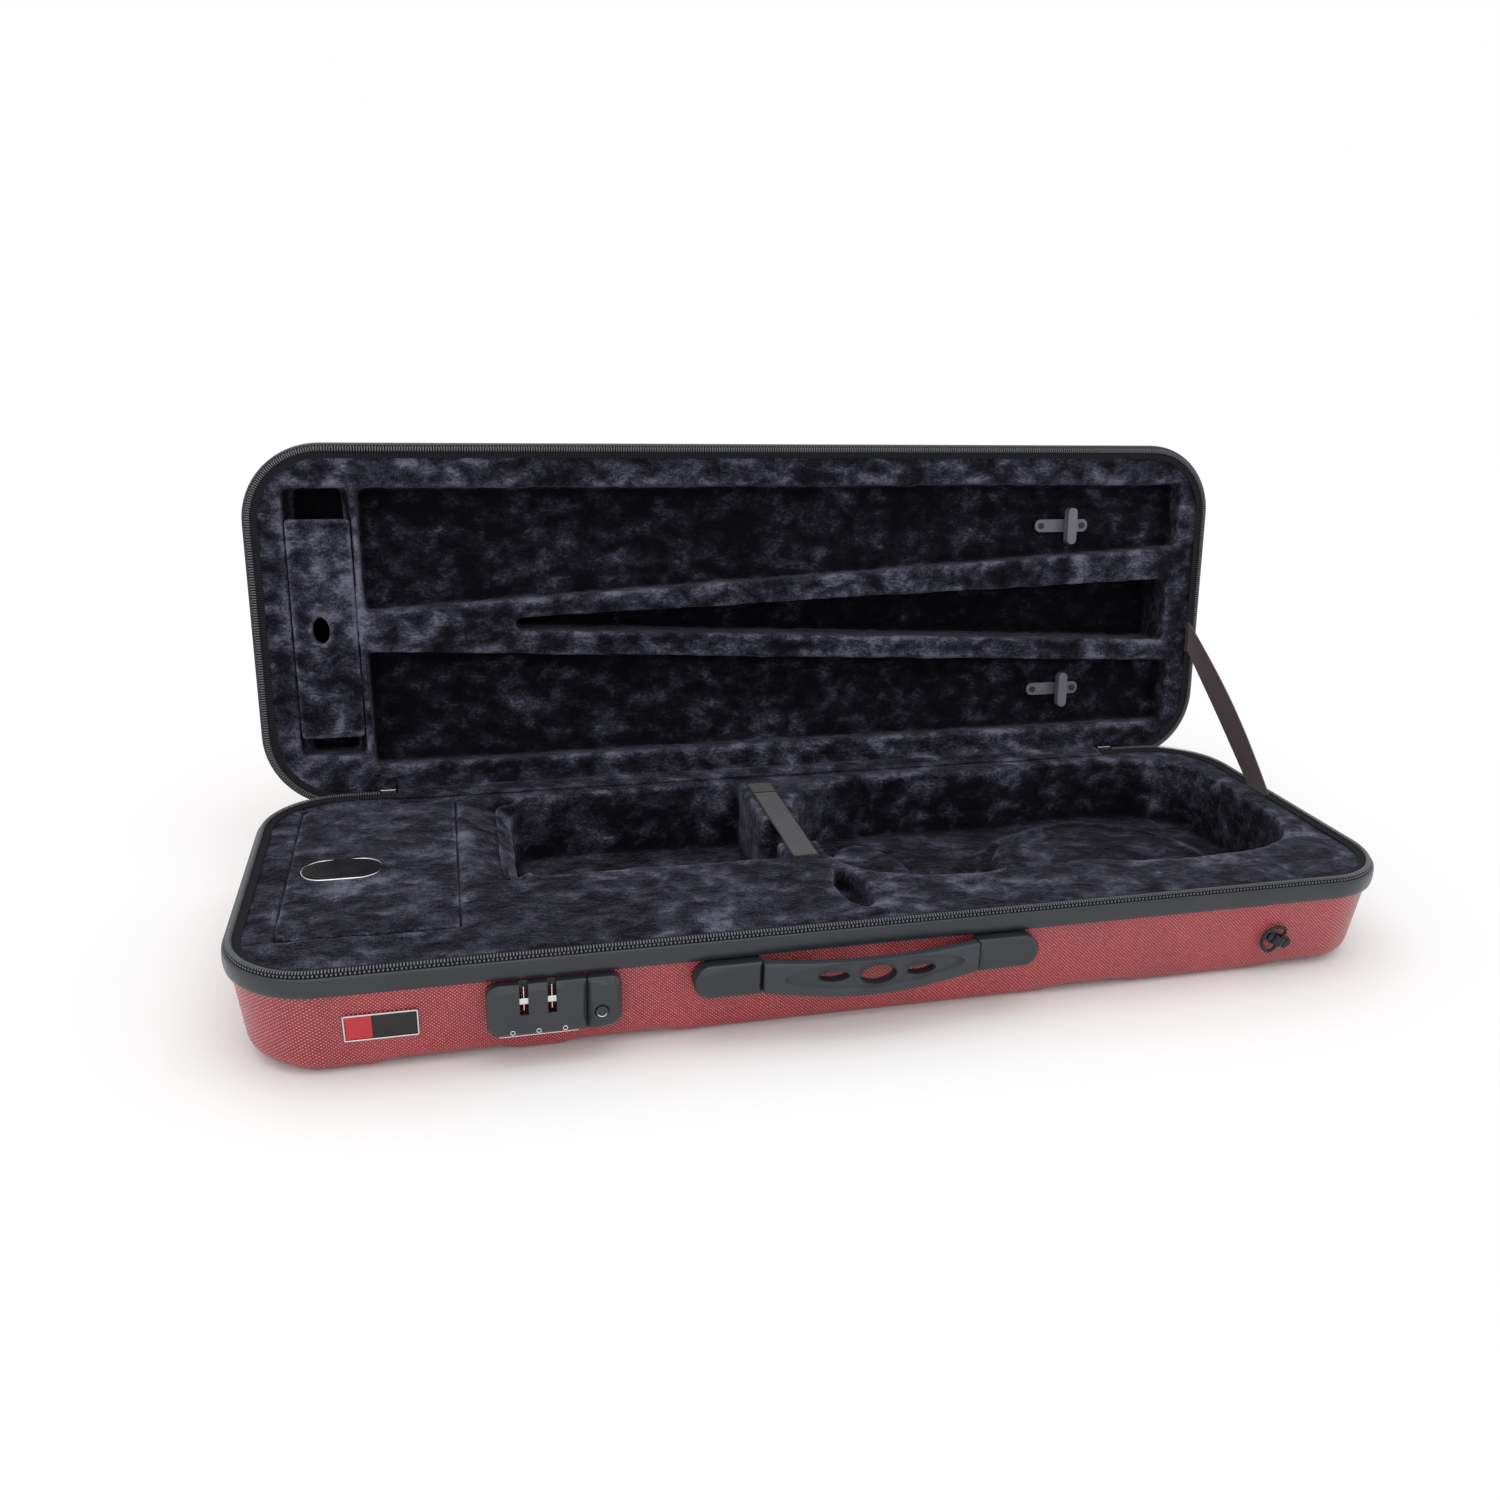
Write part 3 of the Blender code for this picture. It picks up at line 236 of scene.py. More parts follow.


# %% [markdown]
# ## Helpers for meshes
#
# Most pieces are one section carried along a route. `loft` skins a row of such sections and writes a UV map
# in metres, so a weave keeps its real size round every corner. `piece` turns the result into an object, and
# `wear` makes it move with a body and hides the plain solids that it stands for.

# %% Mesh helpers
def loft(rings, around=True, closed=False, capped=False):
    """Quads over equal rows of points. u runs along a row and v from row to row."""
    bm = bmesh.new()
    uv = bm.loops.layers.uv.new(uv_map)
    verts = [[bm.verts.new(point) for point in ring] for ring in rings]
    count = len(rings[0])
    first = [Vector(point) for point in rings[0]]
    u = [0.0]
    for i in range(count):
        u.append(u[-1] + (first[(i + 1) % count] - first[i]).length)
    pairs = [(i, i + 1) for i in range(len(rings) - 1)]
    if closed:
        pairs.append((len(rings) - 1, 0))
    v = [0.0]
    for a, b in pairs:
        v.append(v[-1] + (Vector(rings[a][0]) - Vector(rings[b][0])).length)
    for row, (a, b) in enumerate(pairs):
        for i in range(count if around else count - 1):
            j = (i + 1) % count
            face = bm.faces.new((verts[a][i], verts[a][j], verts[b][j], verts[b][i]))
            corners = ((u[i], v[row]), (u[i + 1], v[row]), (u[i + 1], v[row + 1]), (u[i], v[row + 1]))
            for loop, corner in zip(face.loops, corners):
                loop[uv].uv = corner
    if capped:
        bm.faces.new(verts[0][::-1])
        bm.faces.new(verts[-1])
    return bm, verts


def piece(name, bm, material, space=None, smooth=35.0):
    """Makes an object of a bmesh, drawn in the given space."""
    if space is not None:
        bmesh.ops.transform(bm, matrix=space, verts=bm.verts)
    bmesh.ops.recalc_face_normals(bm, faces=bm.faces)
    mesh = bpy.data.meshes.new(name)
    bm.to_mesh(mesh)
    bm.free()
    mesh.materials.append(material)
    mesh.shade_smooth()
    mesh.set_sharp_from_angle(angle=math.radians(smooth))
    made = bpy.data.objects.new(name, mesh)
    bpy.context.scene.collection.objects.link(made)
    return made


def wear(made, body, slot, *nodes):
    """The piece rides on a body and stands for plain solids, which it hides. The slot argument is not used.
    """
    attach(made, body)
    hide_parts(*nodes)
    return made


def rounded_rectangle(low, high, radius, steps=6):
    """Points anticlockwise round a rectangle with round corners."""
    corners = ((high[0], high[1]), (low[0], high[1]), (low[0], low[1]), (high[0], low[1]))
    points = []
    for turn, (x, y) in enumerate(corners):
        centre = (x - math.copysign(radius, x - (low[0] + high[0]) / 2),
                  y - math.copysign(radius, y - (low[1] + high[1]) / 2))
        for step in range(steps + 1):
            angle = math.pi / 2 * (turn + step / steps)
            points.append((centre[0] + radius * math.cos(angle), centre[1] + radius * math.sin(angle)))
    return points


# %% [markdown]
# ## Floor
#
# The floor is a plain pale sheet, far wider than the case. It is painted a little darker near the case, a
# painted shade that lets the soft shadow under it show, and it is pure white farther off, so that it fades
# into the white of the studio.

# %% Floor
floor_reach = 14.0
pale_near, white_far = 0.5, 1.6
floor_finish = finish("floor_finish", Roughness=0.9, Specular_IOR_Level=0.0)
# Painted shade: the floor's colour is grey near the case and fades to white farther off.
away = node(floor_finish, "VectorMath", {0: in_metres(floor_finish)}, operation="LENGTH").outputs["Value"]
shade_fade = node(floor_finish, "MapRange", {0: away, 1: pale_near, 2: white_far}).outputs[0]
floor_painted_shade = ramp(floor_finish, shade_fade, (0.0, (0.86, 0.86, 0.86)), (1.0, (1.0, 1.0, 1.0)))
join_shader(floor_finish, Base_Color=floor_painted_shade)
floor_bm = bmesh.new()
bmesh.ops.create_grid(floor_bm, x_segments=4, y_segments=4, size=floor_reach)
floor = piece("floor", floor_bm, floor_finish)
print("floor", 2 * floor_reach, "m across")

# %% [markdown]
# ## The rim's route
#
# Shells, bands and zips all follow one line: the outer edge of the rim, a rectangle with round corners. We
# store it as stations. Each has a point and the direction that faces out, so a section drawn as inset and
# depth can be placed at any of them. The stations on the front and back pair up, which lets us fill the
# tray's bottom with a tidy grid of quads.

# %% Stations round the rim
corner_radius = 0.0585
corner_steps = 16
long_parts = 140
side_parts = 32


def corner_stations(side, reach, start):
    centre = Vector((side * (half_length - corner_radius), -reach))
    stations = []
    for step in range(corner_steps + 1):
        angle = math.radians(start + 90 * step / corner_steps)
        out = Vector((math.cos(angle), math.sin(angle)))
        stations.append((centre + out * corner_radius, out))
    return stations


def straight_stations(before, after, parts):
    """Stations strictly between two corners."""
    start, end, out = before[-1][0], after[0][0], before[-1][1]
    return [(start.lerp(end, step / parts), out) for step in range(1, parts)]


def rim_stations():
    near, far = corner_radius, 2 * half_width - corner_radius
    front_left = corner_stations(-1, far, 180)
    front_right = corner_stations(1, far, 270)
    back_right = corner_stations(1, near, 0)
    back_left = corner_stations(-1, near, 90)
    return (front_left + straight_stations(front_left, front_right, long_parts) + front_right
            + straight_stations(front_right, back_right, side_parts)
            + back_right + straight_stations(back_right, back_left, long_parts) + back_left
            + straight_stations(back_left, front_left, side_parts))


def at(station, inset, depth):
    point, out = station
    return (point.x - out.x * inset, point.y - out.y * inset, depth)


rim = rim_stations()
front_count = 2 * (corner_steps + 1) + long_parts - 1
side_count = side_parts - 1
print("stations round the rim", len(rim))

# %% [markdown]
# ## Moulded shells
#
# Each half is a tray moulded in red plastic. Its wall leans in a little towards the bottom, so that it
# leaves the mould, and its bottom edge is round. The base also has four low feet that swell out of the
# bottom. The wall's section is a straight line and a quarter of a circle, swept round the rim, and the feet
# are a smooth push on the points near the bottom.

# %% Shell sections
wall = 0.0025
shell_lip = 0.0038
lip_inset = 0.0023
wall_slope = 0.107
edge_round = 0.011
edge_steps = 7
wall_steps = 6
feet_along = ((-0.366, -0.303), (-0.240, -0.190), (-0.139, 0.138), (0.182, 0.312))
foot_ramp = 0.014


def smooth_step(share):
    share = min(max(share, 0.0), 1.0)
    return share * share * (3 - 2 * share)


def wall_inset(depth, tray):
    """How far the wall is inside the rim's edge at a depth."""
    inset = lip_inset + wall_slope * (depth - shell_lip)
    start = tray - edge_round
    if depth > start:
        share = min((depth - start) / edge_round, 1.0)
        inset += edge_round * (1 - math.sqrt(1 - share * share))
    return inset


def wall_profile(tray, extra_inset):
    """(inset, depth) from the lip to the flat bottom."""
    start = tray - edge_round
    depths = [shell_lip + (start - shell_lip) * step / wall_steps for step in range(wall_steps)]
    turns = [math.pi / 2 * step / edge_steps for step in range(edge_steps + 1)]
    depths += [start + edge_round * math.sin(turn) for turn in turns]
    return [(wall_inset(depth, tray) + extra_inset, depth) for depth in depths]


def foot_push(x, depth, tray):
    """How far the bottom is pushed down by a foot."""
    height = 0.0
    for start, end in feet_along:
        height = max(height, smooth_step((x - start) / foot_ramp) * smooth_step((end - x) / foot_ramp))
    return foot_height * height * smooth_step((depth - tray + edge_round) / edge_round)


def fill_bottom(bm, verts, depth_at):
    """A grid of quads between the front and back stations of a ring of vertices."""
    uv = bm.loops.layers.uv[uv_map]
    front = verts[:front_count]
    right = verts[front_count:front_count + side_count]
    back = verts[front_count + side_count:2 * front_count + side_count][::-1]
    left = verts[2 * front_count + side_count:][::-1]
    rows = [front]
    for row in range(side_count):
        share = (row + 1) / side_parts
        line = [left[row]]
        for a, b in zip(front[1:-1], back[1:-1]):
            place = a.co.lerp(b.co, share)
            line.append(bm.verts.new((place.x, place.y, depth_at(place.x))))
        rows.append(line + [right[row]])
    rows.append(back)
    for lower, upper in zip(rows, rows[1:]):
        for i in range(front_count - 1):
            face = bm.faces.new((lower[i], lower[i + 1], upper[i + 1], upper[i]))
            for loop in face.loops:
                loop[uv].uv = loop.vert.co.xy


def make_shell(half, material):
    tray = tray_depth[half]
    outer = wall_profile(tray, 0.0)
    inner = wall_profile(tray - wall, wall)
    section = outer[::-1] + inner
    has_feet = half == "base"
    rings = []
    for station in rim:
        ring = []
        for number, (inset, depth) in enumerate(section):
            x, y, z = at(station, inset, depth)
            if has_feet and number < len(outer):
                z += foot_push(x, depth, tray)
            ring.append((x, y, z))
        rings.append(ring)
    bm, verts = loft(rings, around=False, closed=True)
    foot_at = (lambda x: foot_push(x, tray, tray)) if has_feet else (lambda x: 0.0)
    fill_bottom(bm, [ring[0] for ring in verts], lambda x: tray + foot_at(x))
    fill_bottom(bm, [ring[-1] for ring in verts], lambda x: tray - wall)
    return piece(f"{half}_moulded_shell", bm, material, halves[half])


# %% [markdown]
# ## Red woven finish
#
# The red plastic is moulded with a pattern of small staggered bumps, like a coarse weave. Two cosines
# multiplied together give exactly that: their peaks lie in rows, each row half a step along. The peaks
# catch more light, so they also get a paler red, and a slow noise keeps large areas from looking printed.

# %% Red shell material
weave_along = 0.0026
weave_down = 0.0024


def make_red():
    red = finish("woven_red", Roughness=0.36, Coat_Weight=0.25, Coat_Roughness=0.25)
    place = node(red, "UVMap", uv_map=uv_map).outputs[0]
    split = node(red, "SeparateXYZ", {0: place})
    down = maths(red, "COSINE", maths(red, "MULTIPLY", split.outputs[0], 2 * math.pi / weave_down))
    along = maths(red, "COSINE", maths(red, "MULTIPLY", split.outputs[1], 2 * math.pi / weave_along))
    lattice = maths(red, "MULTIPLY", down, along)
    patch = grain(red, 0.05, detail=3.0)
    fine = grain(red, 0.0022, detail=2.0)
    lift = maths(red, "ADD", lattice, maths(red, "MULTIPLY", maths(red, "SUBTRACT", fine, 0.5), 0.9))
    peak = node(red, "MapRange", {0: lift, 1: 0.25, 2: 0.95}).outputs[0]
    ground = ramp(red, patch, (0.3, (0.225, 0.005, 0.010)), (0.7, (0.300, 0.010, 0.017)))
    light = maths(red, "MULTIPLY", peak, 0.80)
    mixed = node(red, "Mix", {0: light, 6: ground, 7: (0.80, 0.30, 0.32, 1.0)}, data_type="RGBA")
    join_shader(red, Base_Color=mixed.outputs[2], Normal=bump(red, lattice, 0.00022))
    return red


woven_red = make_red()
for half in halves:
    shell = make_shell(half, woven_red)
    wear(shell, half, "red_shell", f"{half}_shell")
    print(shell.name, "faces", len(shell.data.polygons))

# %% [markdown]
# ## Rim bands
#
# A band of dark plastic is pressed over each shell's edge and hides the screws of the frame. Its face is
# slightly round, which is why it carries one long soft highlight. Its section is half of a squarish oval
# whose back follows the shell's wall.

# %% Dark plastic and rim bands
band_depths = (0.0036, 0.0165)
fit_gap = 0.0003
band_points = 14
band_squareness = 0.42


def make_dark_plastic(name, colour, roughness, grain_size, grain_height):
    """Moulded plastic with a fine grain and slightly uneven gloss."""
    plastic = finish(name, Specular_IOR_Level=0.5)
    blotch = grain(plastic, 0.03, detail=4.0)
    fine = grain(plastic, grain_size, detail=3.0)
    darker = tuple(channel * 0.82 for channel in colour)
    tint = ramp(plastic, blotch, (0.35, darker), (0.7, colour))
    gloss = between(plastic, grain(plastic, 0.012, detail=5.0), roughness - 0.06, roughness + 0.08)
    join_shader(plastic, Base_Color=tint, Roughness=gloss, Normal=bump(plastic, fine, grain_height))
    return plastic


satin_plastic = make_dark_plastic("satin_plastic", (0.017, 0.021, 0.027), 0.33, 0.0006, 0.00006)


def band_section(tray):
    top, bottom = band_depths
    section = []
    for step in range(band_points + 1):
        angle = math.pi * step / band_points
        depth = top + (bottom - top) * (1 - math.cos(angle)) / 2
        back = wall_inset(max(depth, shell_lip), tray) - fit_gap
        section.append((back * (1 - max(math.sin(angle), 0.0) ** band_squareness), depth))
    return section


for half, space in halves.items():
    section = band_section(tray_depth[half])
    rings = [[at(station, inset, depth) for inset, depth in section] for station in rim]
    band = piece(f"{half}_satin_band", loft(rings, closed=True)[0], satin_plastic, space, smooth=60)
    wear(band, half, "dark_plastic", f"{half}_rim_band")
print("band faces", len(band.data.polygons))

# %% [markdown]
# ## Zip
#
# The zip is a coil: one long thread wound into loops and sewn to a woven tape. Seen from outside, each loop
# is a short bright arch. We walk along the rim at an even pitch and set one small arch at each step, then a
# row of stitches below them. The coil stops near both ends of the hinge. The tape runs on a little, under
# the parked sliders, and the stitches end before them, so that a slider has room to move.

# %% Zip tape, teeth and stitches
zip_end = 0.3165
tape_end = 0.3030
stitch_end = 0.3350
tape_step = 0.005
tooth_pitch = 0.0019
tooth_width, tooth_thickness = 0.0010, 0.0005
stitch_pitch = 0.0026
stitch_width, stitch_thickness = 0.0013, 0.0004
tape_section = ((0.0020, 0.0037), (0.0020, 0.0035), (0.0031, 0.0033), (0.0032, 0.0019), (0.0037, 0.0016),
                (0.0072, 0.0018), (0.0112, 0.0027), (0.0113, 0.0032), (0.0072, 0.0023), (0.0042, 0.0023),
                (0.0040, 0.0037))
tooth_arch = ((0.0062, 0.0013), (0.0060, 0.0006), (0.0052, 0.0003), (0.0042, 0.0003), (0.0035, 0.0007),
              (0.0033, 0.0014))
stitch_arch = ((0.0029, 0.0020), (0.0026, 0.0023), (0.0025, 0.0029), (0.0027, 0.0032))


def zip_route(pitch, back_end=zip_end):
    """Stations at an even pitch from one end of the hinge round the front to the other."""
    middle = 2 * front_count + side_count - (corner_steps + 1) - long_parts // 2
    chain = rim[middle:] + rim[:middle]
    lengths = [0.0]
    for a, b in zip(chain, chain[1:]):
        lengths.append(lengths[-1] + (b[0] - a[0]).length)
    start = back_end + chain[0][0].x
    end = lengths[-1] + (chain[0][0] - chain[-1][0]).length - back_end + chain[0][0].x
    count = round((end - start) / pitch)
    stations = []
    index = 0
    for step in range(count + 1):
        target = start + (end - start) * step / count
        while index < len(lengths) - 2 and lengths[index + 1] < target:
            index += 1
        share = (target - lengths[index]) / (lengths[index + 1] - lengths[index])
        point = chain[index][0].lerp(chain[index + 1][0], share)
        stations.append((point, chain[index][1].lerp(chain[index + 1][1], share).normalized()))
    return stations


def row_of_arches(route, arch, width, thickness):
    """One small bent bar at each station, drawn as (inset, depth)."""
    bm = bmesh.new()
    for point, out in route:
        along = Vector((-out.y, out.x)) * width / 2
        rows = []
        for number, (inset, depth) in enumerate(arch):
            before, after = arch[max(number - 1, 0)], arch[min(number + 1, len(arch) - 1)]
            run = Vector((after[0] - before[0], after[1] - before[1])).normalized()
            over = Vector((run.y, -run.x)) * thickness / 2
            row = []
            for side, face in ((-1, -1), (1, -1), (1, 1), (-1, 1)):
                shrink = 0.72 if face < 0 else 1.0
                centre = point - out * (inset + over.x * face) + along * side * shrink
                row.append(bm.verts.new((centre.x, centre.y, depth + over.y * face)))
            rows.append(row)
        for a, b in zip(rows, rows[1:]):
            for i in range(4):
                j = (i + 1) % 4
                bm.faces.new((a[i], a[j], b[j], b[i]))
        bm.faces.new(rows[0][::-1])
        bm.faces.new(rows[-1])
    return bm


def make_tape_cloth():
    """Fine herringbone tape."""
    cloth = finish("zip_tape_cloth", Roughness=0.9, Specular_IOR_Level=0.2)
    place = node(cloth, "UVMap", uv_map=uv_map).outputs[0]
    rib = node(cloth, "TexWave", {"Vector": place, "Scale": 170.0, "Distortion": 2.0}, bands_direction="Y")
    tint = ramp(cloth, rib.outputs[1], (0.2, (0.004, 0.004, 0.006)), (0.9, (0.016, 0.017, 0.021)))
    join_shader(cloth, Base_Color=tint, Normal=bump(cloth, rib.outputs[1], 0.0002))
    return cloth


tape_cloth = make_tape_cloth()
tooth_nylon = make_dark_plastic("tooth_nylon", (0.110, 0.114, 0.125), 0.32, 0.0004, 0.00002)
for half, space in halves.items():
    rings = [[at(station, inset, depth) for inset, depth in tape_section]
             for station in zip_route(tape_step, tape_end)]
    tape = piece(f"{half}_woven_tape", loft(rings, capped=True)[0], tape_cloth, space)
    wear(tape, half, "zip_tape", f"{half}_zip_tape")
    teeth_bm = row_of_arches(zip_route(tooth_pitch), tooth_arch, tooth_width, tooth_thickness)
    teeth = piece(f"{half}_coil_teeth", teeth_bm, tooth_nylon, space)
    wear(teeth, half, "zip_teeth", f"{half}_zip_teeth")
    stitch_route = zip_route(stitch_pitch, stitch_end)
    stitch_bm = row_of_arches(stitch_route, stitch_arch, stitch_width, stitch_thickness)
    stitches = piece(f"{half}_tape_stitches", stitch_bm, tooth_nylon, space)
    wear(stitches, half, "zip_teeth")
print("teeth on each half", len(zip_route(tooth_pitch)))

# %% [markdown]
# ## Plush lining
#
# The blocks inside the case are foam and card, covered in one skin of plush. To get that skin, we join the
# plain blocks, wrap them in an even mesh, and relax the mesh so that every edge becomes soft. Then a little
# unevenness is pushed along the normals, because no glued lining lies perfectly flat.
#
# The unevenness is a sum of smooth noises. Each mixes random values at the corners of a grid of cells.

# %% Smooth noise for many points
def value_noise(places, size, seed=0):
    """Smooth noise from 0 to 1 at each place, with blotches about size metres across."""
    scaled = places / size + seed * 17.3
    cell = np.floor(scaled).astype(np.int64)
    part = scaled - cell
    part = part * part * (3 - 2 * part)
    total = np.zeros(len(places))
    for corner in range(8):
        step = np.array([corner & 1, corner >> 1 & 1, corner >> 2 & 1])
        key = (cell + step) @ np.array([73856093, 19349663, 83492791]) & 0x7FFFFFFF
        key = (key ^ (key >> 13)) * 1274126177 & 0x7FFFFFFF
        key = (key ^ (key >> 11)) & 0xFFFF
        total += np.prod(np.where(step, part, 1 - part), axis=1) * key / 0xFFFF
    return total


lumps = ((0.032, 1.0), (0.011, 0.5), (0.0042, 0.35))  # size in metres, and share of the height


def uneven(places, height):
    """Lumps of three sizes, half of them up and half of them down."""
    return height * sum(share * (value_noise(places, size, seed) - 0.5)
                        for seed, (size, share) in enumerate(lumps, 1))


def soft_step(values, low, high):
    """0 below low, 1 above high and smooth between, for many values."""
    share = np.clip((values - low) / (high - low), 0, 1)
    return share * share * (3 - 2 * share)


print("lumps", lumps)

# %% [markdown]
# ## Wrapping blocks in a soft skin
#
# A voxel remesh throws away the blocks' own faces and grows a new mesh of even quads round all of them, so
# gaps between blocks close as a glued cloth would close them. The smooth modifier then rounds the edges.

# %% Soft skin
def from_nodes(*names):
    """A bmesh of the plain solids with those names."""
    bm = bmesh.new()
    for name in names:
        bm.from_mesh(frame["nodes"][name].data)
    return bm


def soft_skin(name, nodes, voxel, rounds, material):
    """One even mesh over all the solids, with its edges relaxed."""
    rough = piece(name + "_blocks", from_nodes(*nodes), material)
    wrap = rough.modifiers.new("wrap", "REMESH")
    wrap.mode = "VOXEL"
    wrap.voxel_size = voxel
    relax = rough.modifiers.new("relax", "SMOOTH")
    relax.factor = 0.5
    relax.iterations = rounds
    mesh = bpy.data.meshes.new_from_object(rough.evaluated_get(bpy.context.evaluated_depsgraph_get()))
    bpy.data.objects.remove(rough)
    mesh.name = name
    mesh.materials.clear()
    mesh.materials.append(material)
    made = bpy.data.objects.new(name, mesh)
    bpy.context.scene.collection.objects.link(made)
    return made


# %% [markdown]
# ## Depth and crest
#
# Two numbers are stored on each point for the finish. `depth` is how far down in its half the point lies,
# and the crest number is how strongly the surface bulges there. The finish paints light with them: a painted
# shade that darkens the plush deep down, and a painted highlight along every crest.

# %% Numbers on points
def read(mesh, kind):
    values = np.empty(len(mesh.vertices) * 3)
    mesh.vertices.foreach_get(kind, values)
    return values.reshape(-1, 3)


def store(mesh, name, values):
    attribute = mesh.attributes.new(name, "FLOAT", "POINT")
    attribute.data.foreach_set("value", values.astype(np.float32))


def in_half(half, places):
    """Reach and depth space of a half, for many places at once."""
    inverse = np.array(halves[half].inverted())
    return places @ inverse[:3, :3].T + inverse[:3, 3]


def crest_of(mesh, places, normals, scale):
    """How far each point stands out from its neighbours, from -1 to 1, averaged once."""
    pairs = np.empty(len(mesh.edges) * 2, int)
    mesh.edges.foreach_get("vertices", pairs)
    pairs = pairs.reshape(-1, 2)
    count = np.bincount(pairs.ravel(), minlength=len(places))[:, None]

    def averaged(values):
        total = np.zeros_like(values)
        for a, b in ((0, 1), (1, 0)):
            for axis in range(values.shape[1]):
                total[:, axis] += np.bincount(pairs[:, a], values[pairs[:, b], axis], len(values))
        return total / count

    bulge = ((places - averaged(places)) * normals).sum(axis=1, keepdims=True) / scale
    bulge = averaged(averaged(bulge))
    return np.clip(bulge[:, 0] * 9, -1, 1)


# %% [markdown]
# ## Plush finish
#
# Plush is a forest of short fibres. Each patch has been stroked one way or another, so it is either nearly
# black or a dusty violet grey. The finish mixes three sizes: slow patches, the marks of a brush or hand, and
# the fibres themselves, drawn as fine streaks in two directions. A sheen lights the tips at the rims, and
# the finish adds a painted highlight along the crests and a painted shade deep down.

# %% Plush material
def attribute(material, name):
    return node(material, "Attribute", attribute_name=name).outputs["Fac"]


def make_plush():
    nap = finish("plush_nap", Roughness=1.0, Sheen_Weight=0.16, Sheen_Roughness=0.35,
                 Sheen_Tint=(0.62, 0.62, 0.80, 1.0), Specular_IOR_Level=0.1)
    patch = grain(nap, 0.060, detail=2.0, distortion=0.8)
    clump = grain(nap, 0.0125, in_metres(nap, (0.7, 1.0, 1.0), 0.4), detail=4.0, distortion=0.35)
    streaks = [grain(nap, 0.0009, in_metres(nap, stretch, turn), detail=2.0)
               for stretch, turn in (((1.0, 0.22, 0.5), 0.6), ((0.26, 1.0, 0.5), -0.3))]
    fibre = node(nap, "Mix", {0: clump, 2: streaks[0], 3: streaks[1]}).outputs[0]
    # Painted highlight: the crest number brightens the plush along every bulge.
    painted_crest_highlight = attribute(nap, "painted_crest_highlight")
    # Painted shade: the plush is darkened the deeper it lies in its half.
    painted_shade = node(nap, "MapRange", {0: attribute(nap, "depth"), 1: 0.006, 2: 0.030}).outputs[0]
    tone = maths(nap, "MULTIPLY_ADD", patch, 0.65, maths(nap, "MULTIPLY", clump, 1.15))
    tone = maths(nap, "MULTIPLY_ADD", fibre, 0.85, tone)
    tone = maths(nap, "MULTIPLY_ADD", painted_crest_highlight, 0.22, tone)
    tone = maths(nap, "MULTIPLY_ADD", painted_shade, -0.20, tone)
    tint = ramp(nap, maths(nap, "SUBTRACT", tone, 0.72),
                (0.30, (0.0018, 0.0018, 0.0034)), (0.52, (0.0065, 0.0065, 0.0105)),
                (0.72, (0.030, 0.030, 0.044)), (1.00, (0.125, 0.125, 0.165)))
    height = maths(nap, "MULTIPLY_ADD", clump, 2.2, fibre)
    join_shader(nap, Base_Color=tint, Normal=bump(nap, height, 0.0016))
    return nap


plush_nap = make_plush()

# %% [markdown]
# ## Lining a half
#
# One function does the whole job for a piece: skin, relief, numbers on the points, finish, and a body that
# it moves with. Light reaches the open base more evenly than the upright lid, so its depth counts for less
# in the painted shade.

# %% Lining function
# How much the depth counts in each half's painted shade.
painted_shade_share = {"base": 0.25, "lid": 1.0}
lining_voxel, lining_rounds, lining_lumps = 0.0022, 8, 0.0017
cover_voxel, cover_rounds, cover_lumps = 0.0012, 5, 0.0007


def line_with_plush(name, body, half, nodes, voxel, rounds, relief, height):
    made = soft_skin(name, nodes, voxel, rounds, plush_nap)
    mesh = made.data
    places, normals = read(mesh, "co"), read(mesh, "normal")
    moved = places + normals * (relief(in_half(half, places)) + uneven(places, height))[:, None]
    mesh.vertices.foreach_set("co", moved.ravel())
    mesh.update()
    # The depth number drives the plush's painted shade, and the crest number its painted highlight.
    store(mesh, "depth", in_half(half, moved)[:, 2] * painted_shade_share[half])
    store(mesh, "painted_crest_highlight", crest_of(mesh, moved, read(mesh, "normal"), voxel))
    mesh.shade_smooth()
    wear(made, body, "plush", *nodes)
    print(name, "faces", len(mesh.polygons))


# %% [markdown]
# ## The linings of both halves
#
# In the base, the lining slopes down into the well for the scroll, and two rings run round the big pad
# under the violin's body. The lid only needs the soft skin, since its channels are cut in the solid.

# %% Base and lid linings
base_foam = ("foam_floor", "foam_scroll_end", "foam_body_end", "neck_block", "lower_body_pad",
             "upper_body_pad")
slope_along = (-0.256, -0.219)
slope_lip = (0.002, 0.006)  # past the slope's end, where the relief fades out
slope_reach = (0.030, 0.160)
slope_side = 0.010
slope_drop = 0.011
slope_depths = (0.008, 0.020)
pad_centre = (0.245, 0.010)
pad_axes = (0.090, 0.074)
pad_depths = (0.035, 0.042)
ring_shares = (0.88, 1.14)
ring_width, ring_height = 0.028, 0.0016


def base_relief(local):
    """Pushes along the normal: the slope beside the well, and two rings on the pad."""
    x, y, depth = local.T
    near_top = 1 - soft_step(depth, *slope_depths)
    inside = (soft_step(-y, slope_reach[0] - slope_side, slope_reach[0])
              * (1 - soft_step(-y, slope_reach[1], slope_reach[1] + slope_side)))
    well_edge = slope_along[1]
    past_edge = soft_step(x, well_edge + slope_lip[0], well_edge + slope_lip[1])
    along = soft_step(x, *slope_along) * (1 - past_edge)
    across = (y + half_width - pad_centre[1]) / pad_axes[1]
    from_centre = np.hypot((x - pad_centre[0]) / pad_axes[0], across)
    rings = sum(np.exp(-((from_centre - share) / ring_width) ** 2) for share in ring_shares)
    on_pad = soft_step(depth, *pad_depths)
    return -slope_drop * near_top * inside * along + ring_height * rings * on_pad


def no_relief(local):
    return np.zeros(len(local))


